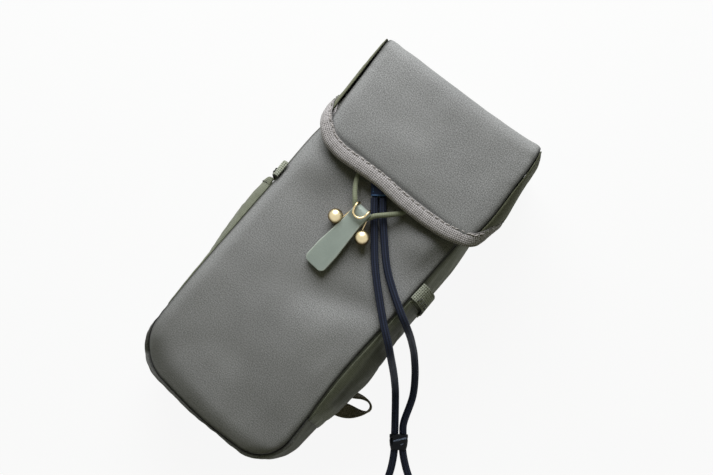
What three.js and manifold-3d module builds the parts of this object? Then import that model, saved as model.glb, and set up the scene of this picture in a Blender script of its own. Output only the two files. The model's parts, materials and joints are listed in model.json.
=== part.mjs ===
// A padded monocular pouch that lies on its back: a boxy body with a hood-shaped lid, a brass wire hook
// that catches an elastic loop with a pull tab, side webbing loops and stretch pockets, and a braided lanyard.
// Millimetres. +Z out of the front panel, +Y towards the hood, +X to the right as one looks at the front.
import * as THREE from "three";
import { mergeVertices } from "three/addons/utils/BufferGeometryUtils.js";
import Module from "manifold-3d";

const wasm = await Module();
wasm.setup();

// Overall sizes
const LENGTH = 200;
const BODY_WIDTH = 88;
const BODY_DEPTH = 58;
const CORNER_RADIUS = 19;
const BASE_GUSSET_RISE = 31;

// Wall layers, from the outside in, and the gap left between neighbours
const FABRIC = 1.0;
const FOAM = 3.0;
const LINING = 0.7;
const GAP = 0.3;

// Mouth of the body, below the hood's top, and the bindings
const MOUTH_DROP = 6.5;
const MOUTH_BINDING_REACH = 6;
const BINDING_WIDTH = 7.7;
const BINDING_THICK = 0.5;
const FOAM_DROP = 1.5;
const TAPE_LAP = 4;
const TAPE_THICK = 0.6;

// Hood, which clears the lanyard on the front panel
const HOOD_LENGTH = 62;
const HOOD_SIDE_LENGTH = 48;
const HOOD_SIDE_RISE = 9;
const HOOD_HEM_RADIUS = 14;
const HOOD_FOAM = 2.0;
const HOOD_LINING = 0.6;
const HOOD_SIDE_LINING = 0.4;
const HOOD_SIDE_FABRIC = 0.6;
const HOOD_SIDE_PLAY = 0.2;
const HOOD_CLEARANCE = 1.65;
const HINGE_HEIGHT = 0.5;
const HINGE_PLAY = 0.4;

// Closure: hook, rivets, elastic loop and pull tab
const HOOK_X = -1.3;
const RIVET_SPACING = 16.6;
const RIVET_DROP = 22;
const RIVET_BALL_RADIUS = 3.7;
const RIVET_NECK_RADIUS = 1.5;
const RIVET_SHANK_RADIUS = 1.2;
const WASHER_RADIUS = 3;
const WASHER_THICK = 0.6;
const PATCH_THICK = 0.9;
const WIRE_DIAMETER = 1.1;
const HOOK_REACH = 12.4;
const HOOK_PLAY = 0.55;
const ELASTIC_DIAMETER = 2.5;
const ELASTIC_LIFT = 0.8;
const ELASTIC_TAIL = 11.6;
const ELASTIC_ANCHOR = { near: 12, far: 19, length: 7, thick: 1.2 };
const TAB_X = -0.9;
const TAB_LENGTH = 35;
const TAB_SIDE_ROOM = 1.5;
const TAB_NECK = 7;
const TAB_WIDENING = 24.7;
const TAB_FOOT_WIDTH = 12;
const TAB_FOOT_ROUND = 3;
const TAB_LEATHER = 1.15;
const TAB_SLOPE = THREE.MathUtils.degToRad(7.6);
const TAB_TURN = THREE.MathUtils.degToRad(-4);

// Webbing
const WEBBING = 1.2;
const SIDE_LOOP_DROP = 85.2;
const SIDE_LOOP_WIDTH = 12;
const SIDE_LOOP_RUN = 30;
const SIDE_LOOP_RISE = 2.2;
const SIDE_LOOP_SEWN = 3;
const SIDE_LOOP_MARGIN = 2;
const POCKET_FABRIC = 0.9;
const POCKET_BULGE = 3.4;
const POCKET_FRONT_MARGIN = 4;
const POCKET_BACK_MARGIN = 15;
const POCKET_BELOW_LOOP = 2.5;
const POCKET_HEM = 4;
const POCKET_HEM_THICK = 1.5;
const POCKET_HEM_RISE = 0.82;
const BELT_LOOP_WIDTH = 38;
const BELT_LOOP_LENGTH = 112;
const BELT_LOOP_Y = 14;
const BELT_LOOP_SLACK = 1.0;
const BELT_LOOP_SEWN = 12;
const BELT_LOOP_SLOPE = 6;
const PULL_LOOP_RISE = 47.8;
const PULL_LOOP_SPAN = 15.2;
const PULL_LOOP_WIDTH = 9.5;
const PULL_LOOP_REACH = 13;

// Lanyard
const CORD_DIAMETER = 3.8;
const CORD_LIFT = 0.35;
const LANYARD_STEPS = 76;
const LANYARD_TURN = THREE.MathUtils.degToRad(38);
const CONNECTOR_X = 0.2;
const CONNECTOR_SHOWS = 2;
const CONNECTOR_WIDTH = 9.2;
const CONNECTOR_LENGTH = 6.4;
const CONNECTOR_SLOT = 1.7;
const CONNECTOR_BAR = 2.0;
const ANCHOR_WIDTH = 6;
const ANCHOR_LENGTH = 8.5;
const ANCHOR_WEBBING = 0.9;
const SLIDER_AT = [80.4, -48.1];
const SLIDER_LENGTH = 7.2;
const SLIDER_WALL = 0.9;
const SLIDER_CHAMFER = 1.4;
const SLIDER_LIFT = 0.05;

// The lanyard's route: out of the connector, over the front and the right edge, down to the surface that
// the pouch lies on, through the slider, round the end loop and back beside itself. Its points are chosen
// by hand, 4.1 mm apart where the two strands lie side by side.
const LANYARD_ROUTE = [
  [-1.2, 34.5, 62.45],
  [4.0, 27.9, 62.45],
  [9.5, 21.3, 62.45],
  [20.9, 8.2, 62.45],
  [39.4, -8.7, 62.4],
  [45.7, -13.7, 61.9],
  [49.6, -16.7, 60.2],
  [52.4, -19.1, 56.0],
  [54.5, -20.9, 46.0],
  [57.1, -23.2, 29.0],
  [60.0, -26.1, 13.0],
  [63.5, -30.0, 4.2],
  [73.1, -42.1, 3.0],
  [76.8, -46.9, 3.15],
  [81.1, -52.4, 3.15],
  [85.4, -60.0, 2.1],
  [90.6, -72.7, 2.05],
  [93.2, -76.0, 2.05],
  [97.0, -77.4, 2.05],
  [101.1, -76.8, 2.05],
  [104.3, -74.2, 2.05],
  [105.8, -70.3, 2.05],
  [105.2, -66.2, 2.05],
  [102.6, -63.0, 2.05],
  [91.5, -55.8, 2.1],
  [84.4, -49.8, 3.15],
  [80.1, -44.3, 3.15],
  [76.5, -39.5, 3.0],
  [71.2, -25.5, 2.1],
  [65.7, -17.0, 3.2],
  [59.8, -10.2, 12.0],
  [55.7, -6.8, 30.0],
  [53.1, -5.3, 47.0],
  [51.1, -4.4, 56.0],
  [48.6, -3.1, 60.3],
  [45.0, -1.3, 62.25],
  [26.4, 10.8, 62.45],
  [13.0, 24.2, 62.45],
  [7.0, 30.8, 62.45],
  [2.0, 37.0, 62.45],
];

// Levels and faces that follow from the sizes above
const HALF = BODY_WIDTH / 2;
const FOOT = -LENGTH / 2;
const TOP = LENGTH / 2;
const BACK_Z = WEBBING + BELT_LOOP_SLACK;
const FRONT_Z = BACK_Z + BODY_DEPTH;
const MOUTH_Y = TOP - MOUTH_DROP;
const BASE_GUSSET_TOP = FOOT + BASE_GUSSET_RISE;
const FOAM_INSET = FABRIC + GAP;
const LINING_INSET = FOAM_INSET + FOAM + GAP;
const INSIDE_INSET = LINING_INSET + LINING;
const CORD_Z = FRONT_Z + CORD_LIFT + CORD_DIAMETER / 2;
const HOOD_INNER_Z = CORD_Z + CORD_DIAMETER / 2 + HOOD_CLEARANCE;
const HOOD_FOAM_Z = HOOD_INNER_Z + HOOD_LINING + GAP;
const HOOD_FABRIC_Z = HOOD_FOAM_Z + HOOD_FOAM + GAP;
const HOOD_OUTER_Z = HOOD_FABRIC_Z + FABRIC;
const HEM_Y = TOP - HOOD_LENGTH;
const MOUTH_BINDING_X = HALF + GAP + BINDING_THICK;
const HOOD_BINDING_X = MOUTH_BINDING_X + HOOD_SIDE_PLAY;
const HOOD_LINING_X = HOOD_BINDING_X + BINDING_THICK + GAP;
const HOOD_SIDE_X = HOOD_LINING_X + HOOD_SIDE_LINING + GAP;
const HOOD_HALF = HOOD_SIDE_X + HOOD_SIDE_FABRIC;
const HINGE_Z = BACK_Z + HINGE_HEIGHT;
const HINGE_Y = TOP - FABRIC - HINGE_PLAY;
const SIDE_HEM_FRONT = TOP - HOOD_SIDE_LENGTH;
const SIDE_HEM_BACK = SIDE_HEM_FRONT + HOOD_SIDE_RISE;
const HOOD_SIDE_Z = BACK_Z + 2.8;
const RIVET_X = [HOOK_X - RIVET_SPACING / 2, HOOK_X + RIVET_SPACING / 2];
const RIVET_Y = HEM_Y - RIVET_DROP;
const PATCH_Z = FRONT_Z - FABRIC - GAP;
const WIRE_Z = FRONT_Z + GAP + WIRE_DIAMETER / 2;
const BALL_Z = FRONT_Z + GAP + WIRE_DIAMETER + GAP + RIVET_BALL_RADIUS;
const TAB_HOLE = ELASTIC_DIAMETER / 2 + GAP;
const TAB_FOLD = TAB_HOLE + TAB_LEATHER;
const TAB_TOP_WIDTH = RIVET_SPACING - 2 * RIVET_BALL_RADIUS - TAB_SIDE_ROOM;
const ELASTIC_Y = RIVET_Y + HOOK_REACH - WIRE_DIAMETER / 2 - TAB_FOLD - HOOK_PLAY;
const ELASTIC_Z = CORD_Z + CORD_DIAMETER / 2 + ELASTIC_LIFT + ELASTIC_DIAMETER / 2;
const HOOK_FRONT_Z = ELASTIC_Z + TAB_FOLD + GAP + WIRE_DIAMETER / 2;
const SIDE_LOOP_FOOT = TOP - SIDE_LOOP_DROP - SIDE_LOOP_WIDTH / 2;
const POCKET_FOOT = BASE_GUSSET_TOP + 1;
const POCKET_MOUTH = SIDE_LOOP_FOOT - POCKET_BELOW_LOOP - POCKET_HEM - GAP;
const POCKET_Z = [BACK_Z + POCKET_BACK_MARGIN, FRONT_Z - POCKET_FRONT_MARGIN];
const CONNECTOR_FOOT = [CONNECTOR_X, HEM_Y - CONNECTOR_SHOWS];
const STRAND_SPACING = CORD_DIAMETER + GAP;
const SLIDER_ROOM = CORD_DIAMETER / 2 + GAP;
const SLIDER_Z = SLIDER_ROOM + SLIDER_WALL + SLIDER_LIFT;

// Materials
const FINISH = {
  shell: { color: 0x75746e, roughness: 0.92 },
  gusset: { color: 0x55584c, roughness: 0.85 },
  foam: { color: 0x3a3a3a, roughness: 1.0 },
  lining: { color: 0x8a8a82, roughness: 0.8 },
  binding: { color: 0x8b8583, roughness: 0.9 },
  webbing: { color: 0x6d7264, roughness: 0.9 },
  elastic: { color: 0x7b8068, roughness: 0.8 },
  leather: { color: 0x7f8b84, roughness: 0.55 },
  brass: { color: 0xd0b070, roughness: 0.3, metalness: 1.0 },
  cord: { color: 0x262c40, roughness: 0.85 },
  plastic: { color: 0x24304a, roughness: 0.4 },
};

// Solids and back again
function solidOf(geometry) {
  const bare = geometry.clone();
  bare.deleteAttribute("normal");
  bare.deleteAttribute("uv");
  const merged = mergeVertices(bare, 1e-4);
  return new wasm.Manifold(
    new wasm.Mesh({
      numProp: 3,
      vertProperties: merged.attributes.position.array,
      triVerts: new Uint32Array(merged.index.array),
    }),
  );
}

function geometryOf(solid) {
  const mesh = solid.getMesh();
  const geometry = new THREE.BufferGeometry();
  geometry.setAttribute("position", new THREE.BufferAttribute(new Float32Array(mesh.vertProperties), 3));
  geometry.setIndex(new THREE.BufferAttribute(new Uint32Array(mesh.triVerts), 1));
  return geometry;
}

const cut = (from, ...tools) => tools.reduce((left, tool) => left.subtract(tool), from);
const join = (first, ...others) => others.reduce((sum, other) => sum.add(other), first);

// A box between two corners
function block(x0, x1, y0, y1, z0, z1) {
  const box = new THREE.BoxGeometry(x1 - x0, y1 - y0, z1 - z0);
  return solidOf(box.translate((x0 + x1) / 2, (y0 + y1) / 2, (z0 + z1) / 2));
}

// An outline in X and Y, raised from z0 to z1
function raised(shape, z0, z1, curveSegments = 8) {
  const geometry = new THREE.ExtrudeGeometry(shape, { depth: z1 - z0, bevelEnabled: false, curveSegments });
  return solidOf(geometry.translate(0, 0, z0));
}

// An outline in Y and Z, run across from x0 to x1
function across(shape, x0, x1, curveSegments = 8) {
  const geometry = new THREE.ExtrudeGeometry(shape, { depth: x1 - x0, bevelEnabled: false, curveSegments });
  const turn = new THREE.Matrix4().set(0, 0, 1, x0, 1, 0, 0, 0, 0, 1, 0, 0, 0, 0, 0, 1);
  return solidOf(geometry.applyMatrix4(turn));
}

// An outline in Z and X, run along from y0 to y1
function along(shape, y0, y1, curveSegments = 8) {
  const geometry = new THREE.ExtrudeGeometry(shape, { depth: y1 - y0, bevelEnabled: false, curveSegments });
  const turn = new THREE.Matrix4().set(0, 1, 0, 0, 0, 0, 1, y0, 1, 0, 0, 0, 0, 0, 0, 1);
  return solidOf(geometry.applyMatrix4(turn));
}

const polygon = (points) => new THREE.Shape(points.map(([x, y]) => new THREE.Vector2(x, y)));

// A round cord or wire along a smooth curve through the points
function tube(points, diameter, steps, sides) {
  const curve = new THREE.CatmullRomCurve3(
    points.map((point) => new THREE.Vector3(...point)),
    false,
    "centripetal",
  );
  const section = new THREE.Shape();
  section.absarc(0, 0, diameter / 2, 0, 2 * Math.PI);
  const curveSegments = sides / 2;
  return solidOf(new THREE.ExtrudeGeometry(section, { steps, curveSegments, extrudePath: curve }));
}

// A flat-topped outline with round lower corners
function trough(half, foot, radius, top) {
  const shape = new THREE.Shape();
  shape.moveTo(-half, top);
  shape.lineTo(-half, foot + radius);
  shape.absarc(-half + radius, foot + radius, radius, Math.PI, 1.5 * Math.PI);
  shape.lineTo(half - radius, foot);
  shape.absarc(half - radius, foot + radius, radius, 1.5 * Math.PI, 2 * Math.PI);
  shape.lineTo(half, top);
  return shape;
}

const bodyOutline = (inset, top) => trough(HALF - inset, FOOT + inset, CORNER_RADIUS - inset, top);
const hoodOutline = (inset, top) =>
  trough(HOOD_HALF - inset, HEM_Y + inset, HOOD_HEM_RADIUS - inset, top);

// A band that runs round the base between two insets of the body's outline
function baseBand(outer, inner, z0, z1, top) {
  return cut(raised(bodyOutline(outer, top), z0, z1), raised(bodyOutline(inner, top + 1), z0 - 1, z1 + 1));
}

const group = new THREE.Group();
function add(name, solid, finish) {
  const material = new THREE.MeshStandardMaterial({ metalness: 0, ...FINISH[finish] });
  const mesh = new THREE.Mesh(geometryOf(solid), material);
  mesh.name = name;
  group.add(mesh);
}

// Reflects a solid in the pouch's middle plane
const mirrored = (solid) => solid.mirror([1, 0, 0]);

// Body shell: two panels with a gusset strip between them
function addShell() {
  const shanks = RIVET_X.map((x) => shank(x, RIVET_SHANK_RADIUS + GAP, FRONT_Z - 2 * FABRIC, FRONT_Z + 1));
  add("front_panel", cut(raised(bodyOutline(0, MOUTH_Y), FRONT_Z - FABRIC, FRONT_Z), ...shanks), "shell");
  add("back_panel", raised(bodyOutline(0, HINGE_Y - HINGE_PLAY), BACK_Z, BACK_Z + FABRIC), "shell");
  const low = BACK_Z + FOAM_INSET;
  const high = FRONT_Z - FOAM_INSET;
  add("base_gusset", baseBand(0, FABRIC, low, high, BASE_GUSSET_TOP), "shell");
  const side = block(HALF - FABRIC, HALF, BASE_GUSSET_TOP + GAP, MOUTH_Y, low, high);
  add("side_gusset_right", side, "gusset");
  add("side_gusset_left", mirrored(side), "gusset");
}

// Foam sheets behind every wall
function addFoam() {
  const top = MOUTH_Y - FOAM_DROP;
  const patch = patchBox(GAP, PATCH_Z - PATCH_THICK - 2 * WASHER_THICK - GAP, FRONT_Z);
  const front = raised(bodyOutline(FOAM_INSET, top), FRONT_Z - FOAM_INSET - FOAM, FRONT_Z - FOAM_INSET);
  add("front_foam", cut(front, patch), "foam");
  const backTop = MOUTH_Y - TAPE_LAP - GAP;
  const back = raised(bodyOutline(FOAM_INSET, backTop), BACK_Z + FOAM_INSET, BACK_Z + FOAM_INSET + FOAM);
  add("back_foam", back, "foam");
  const low = BACK_Z + LINING_INSET;
  const high = FRONT_Z - LINING_INSET;
  const outer = HALF - FOAM_INSET;
  const side = block(outer - FOAM, outer, BASE_GUSSET_TOP + GAP, top, low, high);
  add("side_foam_right", side, "foam");
  add("side_foam_left", mirrored(side), "foam");
  add("base_foam", baseBand(FOAM_INSET, FOAM_INSET + FOAM, low, high, BASE_GUSSET_TOP), "foam");
}

// Lining: front and back sheets and one strip round the sides and base
function addLining() {
  const front = FRONT_Z - LINING_INSET;
  const back = BACK_Z + LINING_INSET;
  add("front_lining", raised(bodyOutline(LINING_INSET, MOUTH_Y), front - LINING, front), "lining");
  const backSheet = raised(bodyOutline(LINING_INSET, MOUTH_Y - TAPE_LAP - GAP), back, back + LINING);
  add("back_lining", backSheet, "lining");
  const low = back + LINING + GAP;
  const high = front - LINING - GAP;
  add("gusset_lining", baseBand(LINING_INSET, INSIDE_INSET, low, high, MOUTH_Y), "lining");
}

// Folded binding over the raw edges of the mouth, on the front and both sides
function addMouthBinding() {
  const inside = HALF - INSIDE_INSET - GAP;
  const back = BACK_Z + INSIDE_INSET + 2 * GAP;
  const front = FRONT_Z + GAP;
  const frontInside = FRONT_Z - INSIDE_INSET - GAP;
  const reach = MOUTH_Y - MOUTH_BINDING_REACH;
  const top = MOUTH_Y + GAP + BINDING_THICK;
  const thick = BINDING_THICK;
  const outer = block(-MOUTH_BINDING_X, MOUTH_BINDING_X, reach, top, back, front + thick);
  const hollow = block(-inside + thick, inside - thick, reach - 1, top + 1, back - 1, frontInside - thick);
  const layers = cut(
    block(-HALF - GAP, HALF + GAP, reach - 1, MOUTH_Y + GAP, back - 1, front),
    block(-inside, inside, reach - 2, MOUTH_Y + 1, back - 2, frontInside),
  );
  add("mouth_binding", cut(outer, hollow, layers), "binding");
}

// Tape over the seam where the back panel meets the hood's top
function addHingeTape() {
  const half = HALF - TAPE_LAP;
  const low = BACK_Z + FOAM_INSET;
  const top = HINGE_Y - HINGE_PLAY - 2 * TAPE_THICK;
  add("hinge_tape", block(-half, half, MOUTH_Y - TAPE_LAP, top, low, low + TAPE_THICK), "binding");
}

// Hood: outer panels, foam, lining and a folded binding round its hem
function sideShape(rise, top, back, front) {
  const slope = (SIDE_HEM_BACK - SIDE_HEM_FRONT) / (HOOD_OUTER_Z - HOOD_SIDE_Z);
  const hem = (z) => SIDE_HEM_FRONT + rise + (HOOD_OUTER_Z - z) * slope;
  return polygon([
    [hem(back), back],
    [top, back],
    [top, front],
    [hem(front), front],
  ]);
}

function addHood() {
  const edge = BINDING_THICK + 2 * GAP;
  const underTop = TOP - FABRIC - GAP;
  add("hood_front", raised(hoodOutline(edge, TOP), HOOD_FABRIC_Z, HOOD_OUTER_Z), "shell");
  const high = HOOD_FABRIC_Z - GAP;
  add("hood_top", block(-HOOD_HALF, HOOD_HALF, TOP - FABRIC, TOP, HINGE_Z + GAP, high), "shell");
  const side = across(sideShape(edge, underTop, HOOD_SIDE_Z, high), HOOD_SIDE_X, HOOD_HALF);
  add("hood_side_right", side, "shell");
  add("hood_side_left", mirrored(side), "shell");
  const foamHalf = HOOD_SIDE_X - GAP;
  const foamShape = trough(foamHalf, HEM_Y + edge, HOOD_HEM_RADIUS - edge, underTop);
  add("hood_front_foam", raised(foamShape, HOOD_FOAM_Z, HOOD_FOAM_Z + HOOD_FOAM), "foam");
  const foamTop = underTop - HOOD_FOAM;
  const topFoam = block(-foamHalf, foamHalf, foamTop, underTop, HOOD_SIDE_Z, HOOD_FOAM_Z - GAP);
  add("hood_top_foam", topFoam, "foam");
  addHoodLining(foamHalf, edge, foamTop - GAP);
}

function addHoodLining(half, edge, top) {
  const high = HOOD_INNER_Z + HOOD_LINING;
  const front = raised(trough(half, HEM_Y + edge, HOOD_HEM_RADIUS - edge, top), HOOD_INNER_Z, high);
  const side = across(sideShape(edge, top, HOOD_SIDE_Z, high), HOOD_LINING_X, half);
  const cap = block(-half, half, top - HOOD_LINING, top, HOOD_SIDE_Z, high);
  add("hood_lining", join(front, side, mirrored(side), cap), "lining");
}

function addHoodBinding() {
  const thick = BINDING_THICK;
  const outerX = HOOD_HALF + GAP + thick;
  const high = HOOD_OUTER_Z + GAP + thick;
  const low = HOOD_INNER_Z - GAP - thick;
  const back = HOOD_SIDE_Z;
  const sideTop = SIDE_HEM_BACK + BINDING_WIDTH + 1;
  const front = cut(
    raised(trough(outerX, HEM_Y, HOOD_HEM_RADIUS, SIDE_HEM_FRONT + BINDING_WIDTH), low, high),
    raised(
      trough(outerX - BINDING_WIDTH, HEM_Y + BINDING_WIDTH, HOOD_HEM_RADIUS - BINDING_WIDTH, sideTop),
      low - 1,
      high + 1,
    ),
  );
  const strip = (rise, x0, x1, z0, z1) => across(sideShape(rise, sideTop, z0, z1), x0, x1);
  const sideBand = cut(
    strip(0, HOOD_BINDING_X, outerX, back, high),
    strip(BINDING_WIDTH, HOOD_BINDING_X - 1, outerX + 1, back - 1, high + 1),
  );
  const frontSlot = raised(
    trough(outerX - thick, HEM_Y + thick + GAP / 2, HOOD_HEM_RADIUS - thick, sideTop),
    low + thick,
    high - thick,
  );
  const slotX = [HOOD_BINDING_X + thick, outerX - thick];
  const sideSlot = strip(thick + GAP / 2, ...slotX, back - 1, high - thick);
  const binding = cut(join(front, sideBand, mirrored(sideBand)), frontSlot, sideSlot, mirrored(sideSlot));
  add("hood_binding", binding, "binding");
}

// Ball rivets through the front panel, with a patch and washers behind it
function patchBox(clearance, z0, z1) {
  const reach = RIVET_SPACING / 2 + 5 + clearance;
  return block(HOOK_X - reach, HOOK_X + reach, RIVET_Y - 6 - clearance, RIVET_Y + 8 + clearance, z0, z1);
}

function shank(x, radius, z0, z1) {
  const pin = new THREE.CylinderGeometry(radius, radius, z1 - z0, 16);
  return solidOf(pin.rotateX(Math.PI / 2).translate(x, RIVET_Y, (z0 + z1) / 2));
}

function addRivets() {
  const holes = RIVET_X.map((x) => shank(x, RIVET_SHANK_RADIUS + GAP, PATCH_Z - 2, PATCH_Z + 1));
  add("hook_patch", cut(patchBox(0, PATCH_Z - PATCH_THICK, PATCH_Z), ...holes), "webbing");
  const washerTop = PATCH_Z - PATCH_THICK - GAP;
  RIVET_X.forEach((x, index) => {
    const side = index ? "right" : "left";
    const neck = shank(x, RIVET_NECK_RADIUS, FRONT_Z + GAP, BALL_Z);
    const ball = new THREE.SphereGeometry(RIVET_BALL_RADIUS, 20, 14).rotateX(Math.PI / 2);
    const pin = shank(x, RIVET_SHANK_RADIUS, washerTop - WASHER_THICK - GAP, BALL_Z);
    add("ball_rivet_" + side, join(solidOf(ball.translate(x, RIVET_Y, BALL_Z)), neck, pin), "brass");
    const washer = shank(x, WASHER_RADIUS, washerTop - WASHER_THICK, washerTop);
    const bore = shank(x, RIVET_SHANK_RADIUS + GAP, washerTop - 2, washerTop + 1);
    add("rivet_washer_" + side, cut(washer, bore), "brass");
  });
}

// The hook is one wire: an eye round each rivet's neck, two legs, a curl over the loop and a bow in front
function addHookWire() {
  const eye = RIVET_NECK_RADIUS + GAP + WIRE_DIAMETER / 2;
  const half = RIVET_SPACING / 2;
  const lift = (fraction) => WIRE_Z + fraction * (HOOK_FRONT_Z - WIRE_Z);
  const right = [];
  const eyeSteps = 12;
  for (let step = 0; step <= eyeSteps; step += 1) {
    const angle = THREE.MathUtils.degToRad(105 - (285 * step) / eyeSteps);
    right.push([half + eye * Math.cos(angle), RIVET_Y + eye * Math.sin(angle), WIRE_Z]);
  }
  const top = RIVET_Y + HOOK_REACH;
  right.push([half - 3.0, RIVET_Y + 3.5, lift(0.01)]);
  right.push([4.4, RIVET_Y + 7.5, lift(0.06)]);
  right.push([3.1, top - 2.5, lift(0.12)]);
  right.push([2.9, top - 1.2, lift(0.32)]);
  right.push([3.2, top, lift(0.56)]);
  right.push([3.5, top - 0.4, lift(0.84)]);
  right.push([3.6, top - 2.0, HOOK_FRONT_Z]);
  right.push([3.2, top - 4.5, HOOK_FRONT_Z]);
  right.push([1.9, top - 6.3, HOOK_FRONT_Z]);
  const left = right.map(([x, y, z]) => [-x, y, z]).reverse();
  const whole = [...right, [0, top - 6.9, HOOK_FRONT_Z], ...left].map(([x, y, z]) => [x + HOOK_X, y, z]);
  add("hook_wire", tube(whole, WIRE_DIAMETER, 96, 8), "brass");
}

// Elastic loop: both ends are sewn in under the hood's hem, and its middle is caught by the hook
function addElastic() {
  const under = HOOD_INNER_Z - GAP - BINDING_THICK - GAP - ELASTIC_DIAMETER / 2;
  const fold = TAB_TOP_WIDTH / 2 + 0.4;
  const tilt = fold * Math.tan(TAB_TURN);
  const tail = HEM_Y + ELASTIC_TAIL;
  const points = [
    [-15.6, tail, under],
    [-15.2, HEM_Y + 6, under],
    [-14.2, HEM_Y - 0.6, under + 0.1],
    [-9.4, ELASTIC_Y + 4.6, ELASTIC_Z - 1.0],
    [TAB_X - fold, ELASTIC_Y - tilt, ELASTIC_Z],
    [TAB_X, ELASTIC_Y, ELASTIC_Z],
    [TAB_X + fold, ELASTIC_Y + tilt, ELASTIC_Z],
    [8.6, ELASTIC_Y + 4.9, ELASTIC_Z],
    [14.0, HEM_Y - 0.8, under + 0.2],
    [15.2, HEM_Y + 6, under],
    [15.6, tail, under],
  ];
  add("closure_elastic", tube(points, ELASTIC_DIAMETER, 44, 8), "elastic");
  const { near, far, length, thick } = ELASTIC_ANCHOR;
  const y = tail + GAP + 0.1;
  const anchor = block(near, far, y, y + length, under - thick, HOOD_INNER_Z - GAP);
  add("elastic_anchor_right", anchor, "binding");
  add("elastic_anchor_left", mirrored(anchor), "binding");
}

// Pull tab: a leather strip folded round the elastic, its two layers sewn together below the fold
function addPullTab() {
  const half = TAB_TOP_WIDTH / 2;
  const foot = TAB_FOOT_WIDTH / 2;
  const round = TAB_FOOT_ROUND;
  const outline = new THREE.Shape();
  outline.moveTo(-half, TAB_FOLD);
  outline.lineTo(-half, -TAB_NECK);
  outline.lineTo(-foot, -TAB_WIDENING);
  outline.lineTo(-foot, -TAB_LENGTH + round);
  outline.absarc(-foot + round, -TAB_LENGTH + round, round, Math.PI, 1.5 * Math.PI);
  outline.absarc(foot - round, -TAB_LENGTH + round, round, 1.5 * Math.PI, 2 * Math.PI);
  outline.lineTo(foot, -TAB_WIDENING);
  outline.lineTo(half, -TAB_NECK);
  outline.lineTo(half, TAB_FOLD);
  const strip = raised(outline, -TAB_LEATHER, TAB_LEATHER, 6);
  const roll = new THREE.Shape();
  roll.absarc(0, 0, TAB_FOLD, 0, 2 * Math.PI);
  const bore = new THREE.Shape();
  bore.absarc(0, 0, TAB_HOLE, 0, 2 * Math.PI);
  const below = block(-foot, foot, -TAB_LENGTH - 1, 0, -TAB_LEATHER, TAB_LEATHER);
  const tab = join(strip.intersect(below), across(roll, -half, half, 10));
  const geometry = geometryOf(cut(tab, across(bore, -half - 1, half + 1, 8)));
  const mesh = new THREE.Mesh(
    geometry,
    new THREE.MeshStandardMaterial({ metalness: 0, ...FINISH.leather }),
  );
  mesh.name = "pull_tab";
  mesh.position.set(TAB_X, ELASTIC_Y, ELASTIC_Z);
  mesh.rotation.set(TAB_SLOPE, 0, TAB_TURN, "ZXY");
  group.add(mesh);
}

// A flat band that lies on x0 from z0 to z1 and stands off it in the middle, between its sewn ends
function archShape(x0, z0, z1, rise, thick, foot) {
  const shape = new THREE.Shape();
  const middle = (z0 + z1) / 2;
  shape.moveTo(z0, x0);
  shape.lineTo(z0 + foot, x0);
  shape.quadraticCurveTo(middle, x0 + 2 * rise, z1 - foot, x0);
  shape.lineTo(z1, x0);
  shape.lineTo(z1, x0 + thick);
  shape.lineTo(z1 - foot, x0 + thick);
  shape.quadraticCurveTo(middle, x0 + thick + 2 * rise, z0 + foot, x0 + thick);
  shape.lineTo(z0, x0 + thick);
  return shape;
}

// Webbing loops on the side gussets
function addSideLoops() {
  const front = FRONT_Z - SIDE_LOOP_MARGIN;
  const back = front - SIDE_LOOP_RUN;
  const arch = archShape(HALF + GAP, back, front, SIDE_LOOP_RISE, WEBBING, SIDE_LOOP_SEWN);
  const loop = along(arch, SIDE_LOOP_FOOT, SIDE_LOOP_FOOT + SIDE_LOOP_WIDTH, 10);
  add("side_loop_right", loop, "webbing");
  add("side_loop_left", mirrored(loop), "webbing");
}

// Stretch pockets: a bulging sheet sewn to the side gusset on three edges, with an elastic hem at its mouth
function pocketSheet() {
  const [low, high] = POCKET_Z;
  const rows = 12;
  const columns = 8;
  const positions = [];
  for (const layer of [0, POCKET_FABRIC]) {
    for (let row = 0; row <= rows; row += 1) {
      for (let column = 0; column <= columns; column += 1) {
        const u = row / rows;
        const v = column / columns;
        const swell = Math.sin(Math.PI * v) * Math.sin(Math.PI * (0.08 + 0.92 * (1 - u)) ** 0.8);
        const x = HALF + GAP + layer + POCKET_BULGE * swell;
        positions.push(x, POCKET_FOOT + (POCKET_MOUTH - POCKET_FOOT) * u, low + (high - low) * v);
      }
    }
  }
  const stride = columns + 1;
  const layerSize = (rows + 1) * stride;
  const at = (layer, row, column) => layer * layerSize + row * stride + column;
  const faces = [];
  const quad = (a, b, c, d) => faces.push(a, b, c, a, c, d);
  for (let row = 0; row < rows; row += 1) {
    for (let column = 0; column < columns; column += 1) {
      const corners = [
        [row, column],
        [row + 1, column],
        [row + 1, column + 1],
        [row, column + 1],
      ];
      quad(...corners.map(([r, c]) => at(1, r, c)));
      quad(...corners.reverse().map(([r, c]) => at(0, r, c)));
    }
  }
  for (let row = 0; row < rows; row += 1) {
    quad(at(0, row, 0), at(0, row + 1, 0), at(1, row + 1, 0), at(1, row, 0));
    quad(at(0, row + 1, columns), at(0, row, columns), at(1, row, columns), at(1, row + 1, columns));
  }
  for (let column = 0; column < columns; column += 1) {
    quad(at(0, 0, column + 1), at(0, 0, column), at(1, 0, column), at(1, 0, column + 1));
    quad(at(0, rows, column), at(0, rows, column + 1), at(1, rows, column + 1), at(1, rows, column));
  }
  const geometry = new THREE.BufferGeometry();
  geometry.setAttribute("position", new THREE.Float32BufferAttribute(positions, 3));
  geometry.setIndex(faces);
  return solidOf(geometry);
}

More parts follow.
